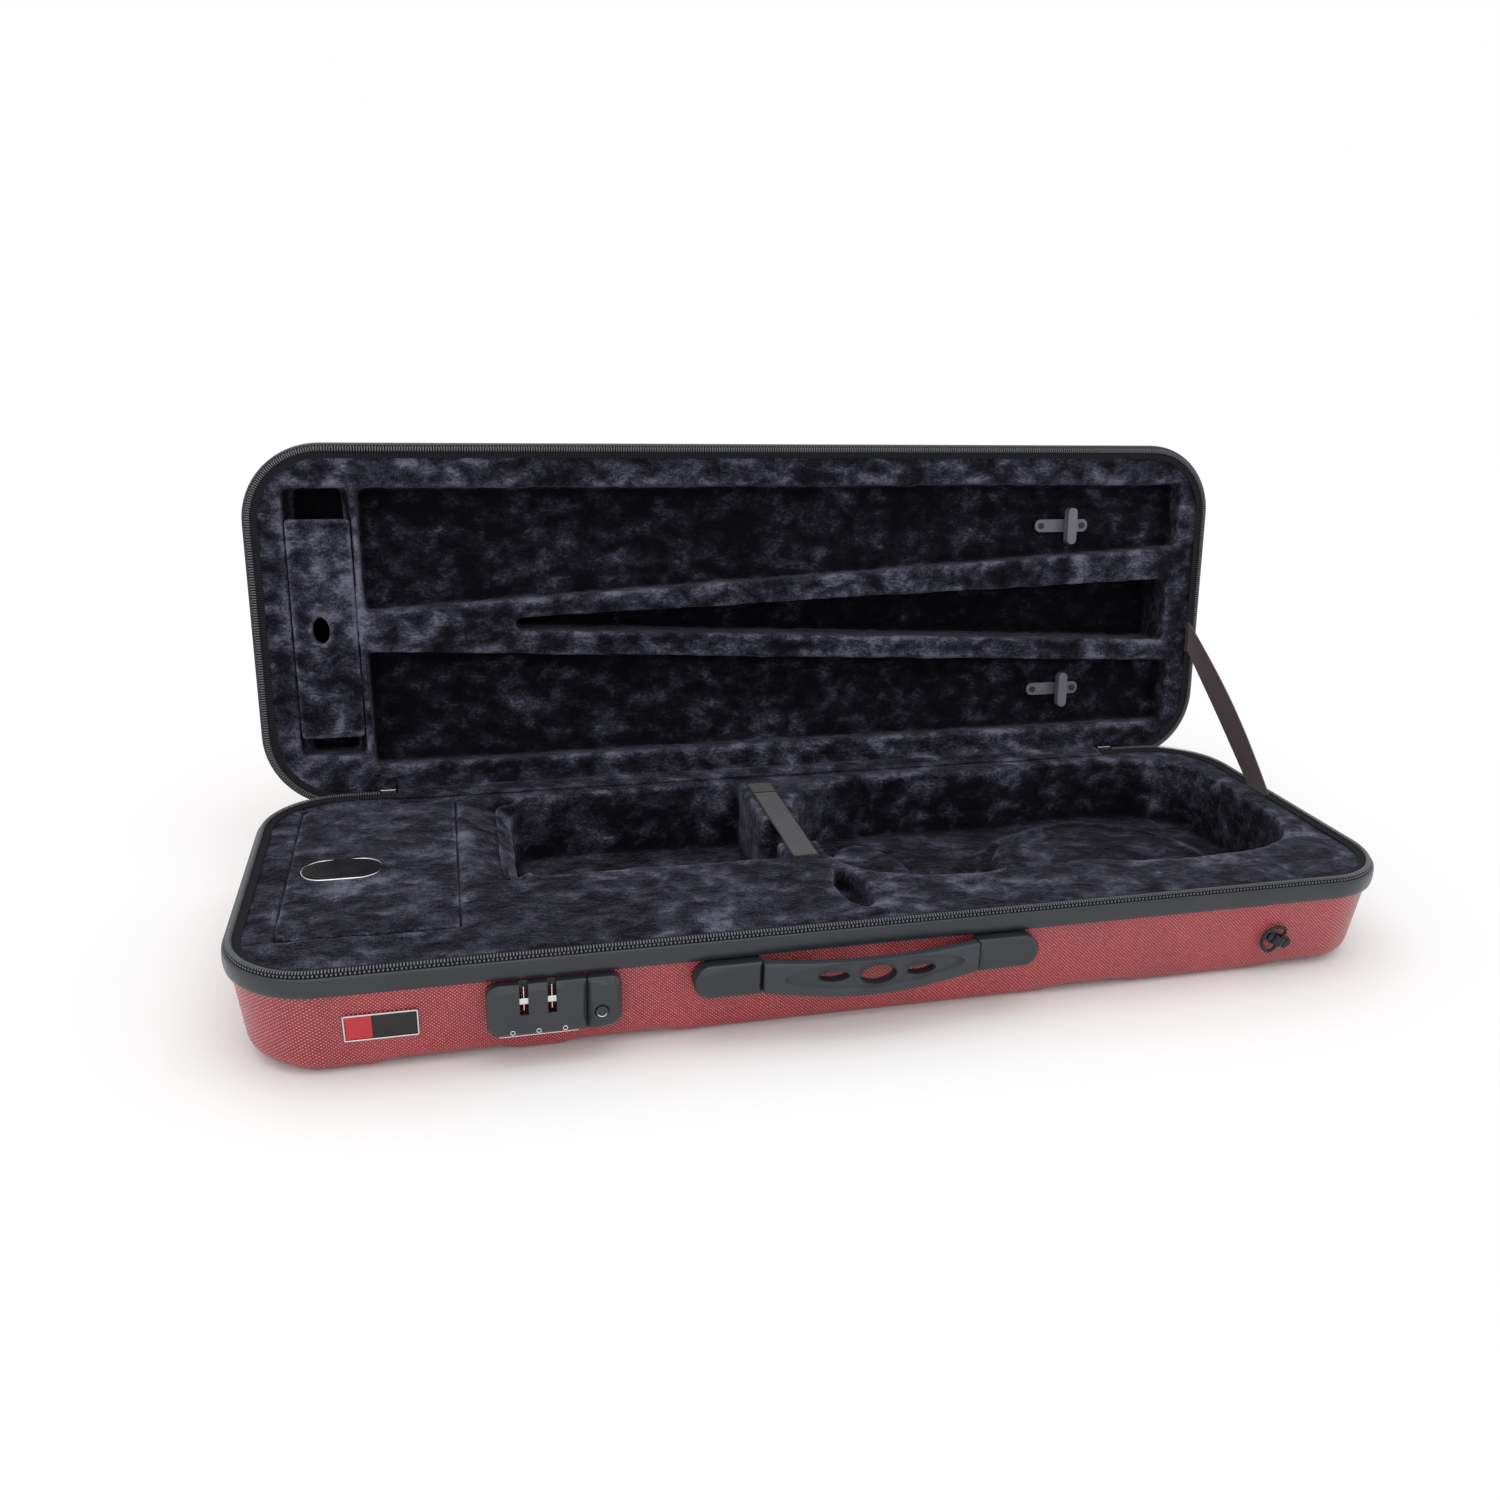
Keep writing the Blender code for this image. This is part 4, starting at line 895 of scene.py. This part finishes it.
line_with_plush("base_plush_lining", "base", "base", base_foam, lining_voxel, lining_rounds, base_relief,
                lining_lumps)
line_with_plush("lid_plush_lining", "lid", "lid", ("lid_foam",), lining_voxel, lining_rounds, no_relief,
                lining_lumps)

# %% [markdown]
# ## Padded covers
#
# The accessory compartment and the tube slot each have a padded cover. They get the same skin and a crown,
# so the middle of each stands a little higher than its edges.

# %% Padded covers
crown_height = 0.0008


def crown(low, high):
    """A relief that rises towards the middle of a cover, between two corners in x and y."""
    def relief(local):
        x, y, _ = local.T
        along = np.clip((x - low[0]) / (high[0] - low[0]), 0, 1)
        across = np.clip((y - low[1]) / (high[1] - low[1]), 0, 1)
        return crown_height * (np.sin(np.pi * along) * np.sin(np.pi * across)) ** 0.5
    return relief


for name, half, node_name in (("accessory_plush_cover", "base", "accessory_cover"),
                              ("pocket_plush_cover", "lid", "lid_pocket_cover")):
    local = in_half(half, read(frame["nodes"][node_name].data, "co"))
    relief = crown(local.min(axis=0)[:2], local.max(axis=0)[:2])
    line_with_plush(name, node_name, half, (node_name,), cover_voxel, cover_rounds, relief, cover_lumps)

# %% [markdown]
# ## Webbing, leather and metal
#
# The rest of the finishes are small ones. Webbing has ribs along its length, leather has a pebbled grain,
# and the metals differ in how bright and how even they are. The moulded parts share the rim bands' recipe.

# %% Webbing, leather and metal finishes
def make_webbing(name, dark, light, pitch, ribs_across):
    """Woven tape whose ribs lie pitch metres apart, counted along the map's X or Y."""
    cloth = finish(name, Roughness=0.8, Sheen_Weight=0.25, Sheen_Roughness=0.5)
    values = {"Vector": node(cloth, "UVMap", uv_map=uv_map).outputs[0], "Scale": math.pi / 10 / pitch}
    ribs = node(cloth, "TexWave", values, bands_direction=ribs_across).outputs[1]
    picks = grain(cloth, 0.0007, detail=3.0)
    tone = maths(cloth, "MULTIPLY_ADD", picks, 0.6, maths(cloth, "MULTIPLY", ribs, 0.6))
    join_shader(cloth, Base_Color=ramp(cloth, tone, (0.25, dark), (0.85, light)),
                Normal=bump(cloth, tone, 0.0004))
    return cloth


def make_metal(name, colour, roughness, metallic=1.0, brushed=(1.0, 1.0, 1.0)):
    metal = finish(name, Base_Color=(*colour, 1.0), Metallic=metallic)
    scratch = grain(metal, 0.0008, in_metres(metal, brushed), detail=4.0)
    join_shader(metal, Roughness=between(metal, scratch, roughness - 0.07, roughness + 0.10),
                Normal=bump(metal, scratch, 0.00002))
    return metal


def make_leather():
    leather = finish("black_leather", Specular_IOR_Level=0.3)
    pebble = node(leather, "TexVoronoi", {"Vector": in_metres(leather), "Scale": 900.0}).outputs[0]
    worn = grain(leather, 0.012, detail=4.0)
    tint = ramp(leather, worn, (0.3, (0.004, 0.004, 0.005)), (0.8, (0.012, 0.012, 0.014)))
    join_shader(leather, Base_Color=tint, Roughness=between(leather, worn, 0.34, 0.52),
                Normal=bump(leather, pebble, -0.0003))
    return leather


strap_webbing = make_webbing("neck_strap_webbing", (0.008, 0.008, 0.010), (0.060, 0.060, 0.068), 0.0022, "X")
stay_webbing = make_webbing("stay_strap_webbing", (0.018, 0.010, 0.013), (0.075, 0.042, 0.050), 0.0012, "Y")
steel = make_metal("satin_steel", (0.66, 0.66, 0.68), 0.24, brushed=(0.12, 1.0, 1.0))
black_metal = make_metal("black_painted_metal", (0.022, 0.022, 0.026), 0.34, metallic=0.5)
black_leather = make_leather()
rubber = make_dark_plastic("soft_rubber", (0.024, 0.029, 0.037), 0.46, 0.0005, 0.00008)
lock_plastic = make_dark_plastic("lock_plastic", (0.022, 0.026, 0.033), 0.30, 0.0006, 0.00005)
holder_plastic = make_dark_plastic("holder_plastic", (0.120, 0.120, 0.150), 0.40, 0.0006, 0.00006)
badge_red = make_dark_plastic("badge_red_lacquer", (0.50, 0.020, 0.032), 0.22, 0.0010, 0.00002)
badge_black = make_dark_plastic("badge_black_lacquer", (0.003, 0.003, 0.004), 0.20, 0.0010, 0.00002)
# Pale print colour, also used for the painted highlight on the lock button.
pale_print_and_highlight = finish("pale_print_and_highlight", Base_Color=(0.70, 0.72, 0.74, 1.0), Roughness=0.5)
print("small finishes", strap_webbing.name, steel.name, black_leather.name, rubber.name)

# %% [markdown]
# ## Hardware with soft edges
#
# A moulded or pressed part never has a knife edge. `soften` copies a plain solid, merges its small flat
# facets, rounds every sharp edge by a fraction of a millimetre and averages the normals by area, so flat
# faces stay flat while the rounds catch a thin highlight.

# %% Copies with rounded edges
same_place = 1e-5
flat_enough = math.radians(1)
sharp_enough = math.radians(32)
round_toggle = 0.0026  # the toggles' ends are nearly balls


def soften(node_name, slot, material, radius):
    bm = from_nodes(node_name)
    bmesh.ops.remove_doubles(bm, verts=bm.verts, dist=same_place)
    bmesh.ops.dissolve_limit(bm, angle_limit=flat_enough, verts=bm.verts, edges=bm.edges)
    made = piece(f"{node_name}_finished", bm, material, smooth=180)
    edge = made.modifiers.new("round_edges", "BEVEL")
    edge.width = radius
    edge.segments = 5 if radius >= round_toggle else 3
    edge.angle_limit = sharp_enough
    edge.use_clamp_overlap = True
    even = made.modifiers.new("even_normals", "WEIGHTED_NORMAL")
    even.keep_sharp = False
    wear(made, frame["nodes"][node_name]["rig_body"], slot, node_name)


# Each row: a finish, the slot it fills, the radius of the rounded edges in metres, and the solids.
screws = [name for name in sorted(frame["nodes"]) if "_screw_" in name]
hardware = (
    (lock_plastic, "dark_plastic", 0.0007, ("lock_housing",)),
    (lock_plastic, "dark_plastic", 0.0006, ("lock_end_cover",)),
    (satin_plastic, "dark_plastic", 0.0005, ("lock_button",)),
    (steel, "bright_steel", 0.0002, ("lock_dial_shaft",)),
    (steel, "bright_steel", 0.0003, ("lock_catch_bar",)),
    (satin_plastic, "dark_plastic", 0.0003, ("lock_dial_1", "lock_dial_2", "lock_dial_3")),
    (satin_plastic, "dark_plastic", 0.0010, ("handle_mount_left", "handle_mount_right")),
    (steel, "bright_steel", 0.0003, ("badge_frame",)),
    (badge_red, "badge_red", 0.0002, ("badge_plate_left",)),
    (badge_black, "badge_black", 0.0002, ("badge_plate_right",)),
    (black_metal, "black_metal", 0.0004, ("strap_saddle_front", "strap_saddle_rear")),
    (black_metal, "black_metal", 0.0003, ("strap_ring_front", "strap_ring_rear")),
    (holder_plastic, "holder_plastic", 0.0004, ("bow_holder_plate_upper", "bow_holder_plate_lower")),
    (holder_plastic, "holder_plastic", round_toggle, ("bow_toggle_upper", "bow_toggle_lower")),
    (steel, "bright_steel", 0.0004, ("zip_slider_left", "zip_slider_right")),
    (steel, "bright_steel", 0.0002, ("zip_pull_tab_left", "zip_pull_tab_right")),
    (stay_webbing, "stay_webbing", 0.0004, ("stay_tab_base", "stay_tab_lid")),
    (strap_webbing, "webbing", 0.0004, ("neck_strap_anchor",)),
    (black_leather, "tab_leather", 0.0004, ("accessory_pull_tab",)),
    (black_metal, "black_metal", 0.0004, screws),
)
for material, slot, radius, node_names in hardware:
    for node_name in node_names:
        soften(node_name, slot, material, radius)
print("hardware pieces", sum(len(node_names) for _, _, _, node_names in hardware))

# %% [markdown]
# ## Lock details
#
# Three small pale rings mark where each dial is read, with a thin line under them. Steel pins stand in the
# two slots that take the zip's pull tabs, and a pale crescent on the thumb button is a painted highlight
# along the lower edge of its shallow press. All of them are thin round wires, so one helper draws them.

# %% Wires
def tube(route, thickness, sides=8, closed=False):
    """A round wire along a route of points."""
    points = [Vector(point) for point in route]
    rings = []
    for i, point in enumerate(points):
        before = points[i - 1] if closed or i else point
        after = points[(i + 1) % len(points)] if closed or i + 1 < len(points) else point
        run = (after - before).normalized()
        side = run.cross(Vector((0, 0, 1)) if abs(run.z) < 0.9 else Vector((0, 1, 0))).normalized()
        up = side.cross(run)
        rings.append([point + thickness * (math.cos(a) * side + math.sin(a) * up)
                      for a in (2 * math.pi * step / sides for step in range(sides))])
    return loft(rings, closed=closed, capped=not closed)[0]


def arc(centre, radius, angles):
    """Points on an arc that faces the front, one at each angle."""
    return [(centre[0] + radius * math.cos(a), centre[1], centre[2] + radius * math.sin(a)) for a in angles]


# %% Rings, line, pins and crescent on the lock
lock_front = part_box("lock_housing")[0].y
marks_along = (-0.2326, -0.2171, -0.2013)
mark_height, mark_radius, mark_wire, mark_points = 0.0264, 0.0013, 0.00022, 28
# The second skin also lifts the crescent's painted highlight off the button.
mark_skin, print_and_highlight_skin = 0.00005, 0.00002  # how far the ink stands out
line_along, line_height, line_wire = (-0.2405, -0.1935), 0.0240, 0.00018
pins_along = (-0.2253, -0.2086)
pin_heights, pin_inset, pin_wire = (0.0400, 0.0560), 0.0030, 0.0006
crescent_radius, crescent_wire, crescent_steps = 0.0028, 0.00025, 20

full_turn = [2 * math.pi * step / mark_points for step in range(mark_points)]
for number, x in enumerate(marks_along, 1):
    route = arc((x, lock_front - mark_skin, mark_height), mark_radius, full_turn)
    ring = piece(f"dial_mark_{number}", tube(route, mark_wire, closed=True), pale_print_and_highlight)
    wear(ring, "base", "dark_plastic")
line = tube([(x, lock_front - print_and_highlight_skin, line_height) for x in line_along], line_wire)
wear(piece("lock_index_line", line, pale_print_and_highlight), "base", "dark_plastic")
for number, x in enumerate(pins_along, 1):
    pin = tube([(x, lock_front + pin_inset, height) for height in pin_heights], pin_wire, sides=14)
    wear(piece(f"lock_slot_pin_{number}", pin, steel), "base", "bright_steel")
button_low, button_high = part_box("lock_button")
button_middle = (button_low + button_high) / 2
# The crescent is a painted highlight along the lower edge of the thumb button's shallow press.
lower_bow = [math.radians(200 + 140 * step / crescent_steps) for step in range(crescent_steps + 1)]
route = arc((button_middle.x, button_low.y - print_and_highlight_skin, button_middle.z), crescent_radius, lower_bow)
highlight_crescent = tube(route, crescent_wire)
wear(piece("lock_button_painted_highlight", highlight_crescent, pale_print_and_highlight), "lock_button", "dark_plastic")
print("lock front at", round(lock_front, 4))

# %% [markdown]
# ## Handle grip
#
# The grip is a soft rubber bar with three openings and a shallow lens-shaped recess round them. We wrap the
# plain grip in a fine mesh, relax it and press the recess in. Its ends stay in their mounts when the middle
# is pulled out. The mesh is cut in two at the middle.

# %% Grip with a lens-shaped recess
grip_voxel, grip_rounds = 0.0006, 4
lens_tips = (-0.065, 0.055)
lens_middle, lens_height = 0.0462, 0.0105
lens_depth, lens_bevel = 0.0022, 0.0009
grip_skin = soft_skin("handle_grip_skin", ("handle_grip",), grip_voxel, grip_rounds, rubber)
places, normals = read(grip_skin.data, "co"), read(grip_skin.data, "normal")
grip_low, grip_high = places.min(axis=0), places.max(axis=0)
share = (places[:, 0] - lens_tips[0]) / (lens_tips[1] - lens_tips[0])
lens_half = lens_height * np.sqrt(np.clip(4 * share * (1 - share), 0, 1))
inside_lens = soft_step(lens_half - np.abs(places[:, 2] - lens_middle), 0.0, lens_bevel)
facing_front = soft_step(-normals[:, 1], 0.5, 0.9)
places[:, 1] += lens_depth * inside_lens * facing_front
grip_skin.data.vertices.foreach_set("co", places.ravel())
grip_skin.data.update()
grip_skin.data.shade_smooth()
print("grip from", grip_low, "to", grip_high)

# %% Two halves
grip_middle = (grip_low[0] + grip_high[0]) / 2
for side, sign, end in (("left", -1, grip_low[0]), ("right", 1, grip_high[0])):
    half_bm = bmesh.new()
    half_bm.from_mesh(grip_skin.data)
    geometry = half_bm.verts[:] + half_bm.edges[:] + half_bm.faces[:]
    bmesh.ops.bisect_plane(half_bm, geom=geometry, plane_co=(grip_middle, 0, 0), plane_no=(-sign, 0, 0),
                           clear_outer=True)
    grip_half = piece(f"handle_grip_{side}_half", half_bm, rubber, smooth=180)
    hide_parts("handle_grip")
    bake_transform(grip_half)
bpy.data.objects.remove(grip_skin)

# %% [markdown]
# ## Cloth that is cut flat
#
# Three pieces are cut from flat cloth: the hinge cloth, the stay strap and the neck strap. Each is drawn as
# rows of points along its route, and `ribbon` gives the rows a thickness.

# %% Ribbon helpers
def ribbon(routes, thickness):
    """A thin closed sheet over equal rows of points, thickened along each row's normals."""
    grid = np.array([[tuple(point) for point in route] for route in routes])
    normal = np.cross(np.gradient(grid, axis=0), np.gradient(grid, axis=1))
    normal /= np.linalg.norm(normal, axis=2, keepdims=True)
    top, under = grid + normal * thickness / 2, grid - normal * thickness / 2
    rings = [[*map(tuple, a), *map(tuple, b[::-1])] for a, b in zip(top, under)]
    return loft(rings, capped=True)[0]


def smooth_route(points, steps):
    """An even curve through a few points."""
    given = np.array([tuple(point) for point in points])
    lengths = np.concatenate([[0], np.cumsum(np.linalg.norm(np.diff(given, axis=0), axis=1))])
    even = np.linspace(0, lengths[-1], steps)
    line = np.stack([np.interp(even, lengths, given[:, axis]) for axis in range(3)], axis=1)
    for _ in range(steps // 6):
        line[1:-1] = (line[:-2] + 2 * line[1:-1] + line[2:]) / 4
    return [Vector(point) for point in line]


def half_point(half, x, reach, depth):
    return halves[half] @ Vector((x, -reach, depth))


# %% [markdown]
# ## Hinge cloth
#
# The hinge cloth closes the gap between the halves. It starts on the base lining, bends over the band and
# climbs onto the lid lining. A slight ripple keeps its long fold from looking ruled.

# %% Hinge cloth
hinge_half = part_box("fabric_hinge")[1].x
hinge_steps, hinge_points = 120, 22
hinge_thickness = 0.0008
# Reach, depth, and how much of the ripple each point takes.
hinge_profile = {"base": ((0.0140, 0.0031, 0), (0.0085, 0.0026, 0), (0.0040, 0.0015, 1),
                          (-0.0006, 0.0008, 1)),
                 "lid": ((0.0125, 0.0006, 1), (0.0150, 0.0020, 1), (0.0200, 0.0031, 0))}
hinge_rows = []
for step in range(hinge_steps + 1):
    x = -hinge_half + 2 * hinge_half * step / hinge_steps
    ripple = 0.0003 * math.sin(x * 95) + 0.0002 * math.sin(x * 213 + 1)
    points = [half_point(half, x, reach, depth + share * ripple)
              for half, line in hinge_profile.items() for reach, depth, share in line]
    hinge_rows.append(smooth_route(points, hinge_points))
hinge_cloth = piece("hinge_cloth", ribbon(hinge_rows, hinge_thickness), plush_nap, smooth=180)
# A small fixed depth gives the hinge cloth a little painted shade, and it gets no painted crest highlight.
store(hinge_cloth.data, "depth", np.full(len(hinge_cloth.data.vertices), 0.004))
store(hinge_cloth.data, "painted_crest_highlight", np.zeros(len(hinge_cloth.data.vertices)))
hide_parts("fabric_hinge")
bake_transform(hinge_cloth)

# %% [markdown]
# ## Stay strap
#
# The stay strap holds the lid from falling back. Its corners are those of the plain solid. Webbing under a
# light pull bellies out and turns a little between its ends.

# %% Stay strap
stay_thickness = 0.0013
stay_belly, stay_turn = 0.0030, 0.0050
stay_steps, stay_across = 40, 6
corners = np.unique(np.round(read(frame["nodes"]["stay_strap"].data, "co"), 5), axis=0)
stay_low, stay_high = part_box("stay_strap")
stay_x = (stay_low.x + stay_high.x) / 2
by_height = corners[np.argsort(corners[:, 2])]
low_corners, high_corners = by_height[:4], by_height[-4:]
front_edge = (low_corners[low_corners[:, 1].argmin()], high_corners[high_corners[:, 1].argmax()])
back_edge = (low_corners[low_corners[:, 1].argmax()], high_corners[high_corners[:, 1].argmin()])
stay_rows = []
for step in range(stay_steps + 1):
    share = step / stay_steps
    front, back = (Vector(low).lerp(Vector(high), share) for low, high in (front_edge, back_edge))
    belly = math.sin(math.pi * share)
    row = []
    for k in range(stay_across + 1):
        place = front.lerp(back, k / stay_across)
        row.append((stay_x + belly * (stay_belly + stay_turn * (0.5 - k / stay_across)), place.y, place.z))
    stay_rows.append(row)
stay_strap = piece("stay_strap_webbing_band", ribbon(stay_rows, stay_thickness), stay_webbing, smooth=60)
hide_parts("stay_strap")
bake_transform(stay_strap)

# %% [markdown]
# ## Neck strap
#
# The neck strap lies across the violin's neck. It is ribbed lengthwise, so each of its rows is a small wave.

# %% Neck strap
strap_low, strap_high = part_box("neck_strap")
strap_thickness = 0.0012
strap_ribs, rib_height = 8, 0.00018
strap_wave = 0.0002
strap_steps, strap_across = 60, 28
neck_rows = []
for step in range(strap_steps + 1):
    y = strap_high.y + (strap_low.y - strap_high.y) * step / strap_steps
    row = []
    for k in range(strap_across + 1):
        x = strap_low.x + (strap_high.x - strap_low.x) * k / strap_across
        rib = rib_height * math.cos(2 * math.pi * strap_ribs * k / strap_across)
        row.append((x, y, (strap_low.z + strap_high.z) / 2 + rib + strap_wave * math.sin(y * 120)))
    neck_rows.append(row)
neck_band = piece("neck_strap_band", ribbon(neck_rows, strap_thickness), strap_webbing, smooth=180)
wear(neck_band, "neck_strap", "webbing", "neck_strap")
print("neck strap", round(strap_high.x - strap_low.x, 4), "by", round(strap_high.y - strap_low.y, 4))

# %% [markdown]
# ## Edge of the leather tab
#
# A thin steel wire is folded round the edge of the leather tab, so the wire follows the tab's outline.

# %% Steel edge of the pull tab
tab_low, tab_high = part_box("accessory_pull_tab")
tab_wire = 0.0005
tab_outline = rounded_rectangle((tab_low.x, tab_low.y), (tab_high.x, tab_high.y),
                                (tab_high.y - tab_low.y) * 0.49, steps=14)
tab_edge = tube([(x, y, (tab_low.z + tab_high.z) / 2) for x, y in tab_outline], tab_wire, closed=True)
wear(piece("pull_tab_steel_edge", tab_edge, steel), "accessory_pull_tab", "bright_steel")
print("points round the tab", len(tab_outline))
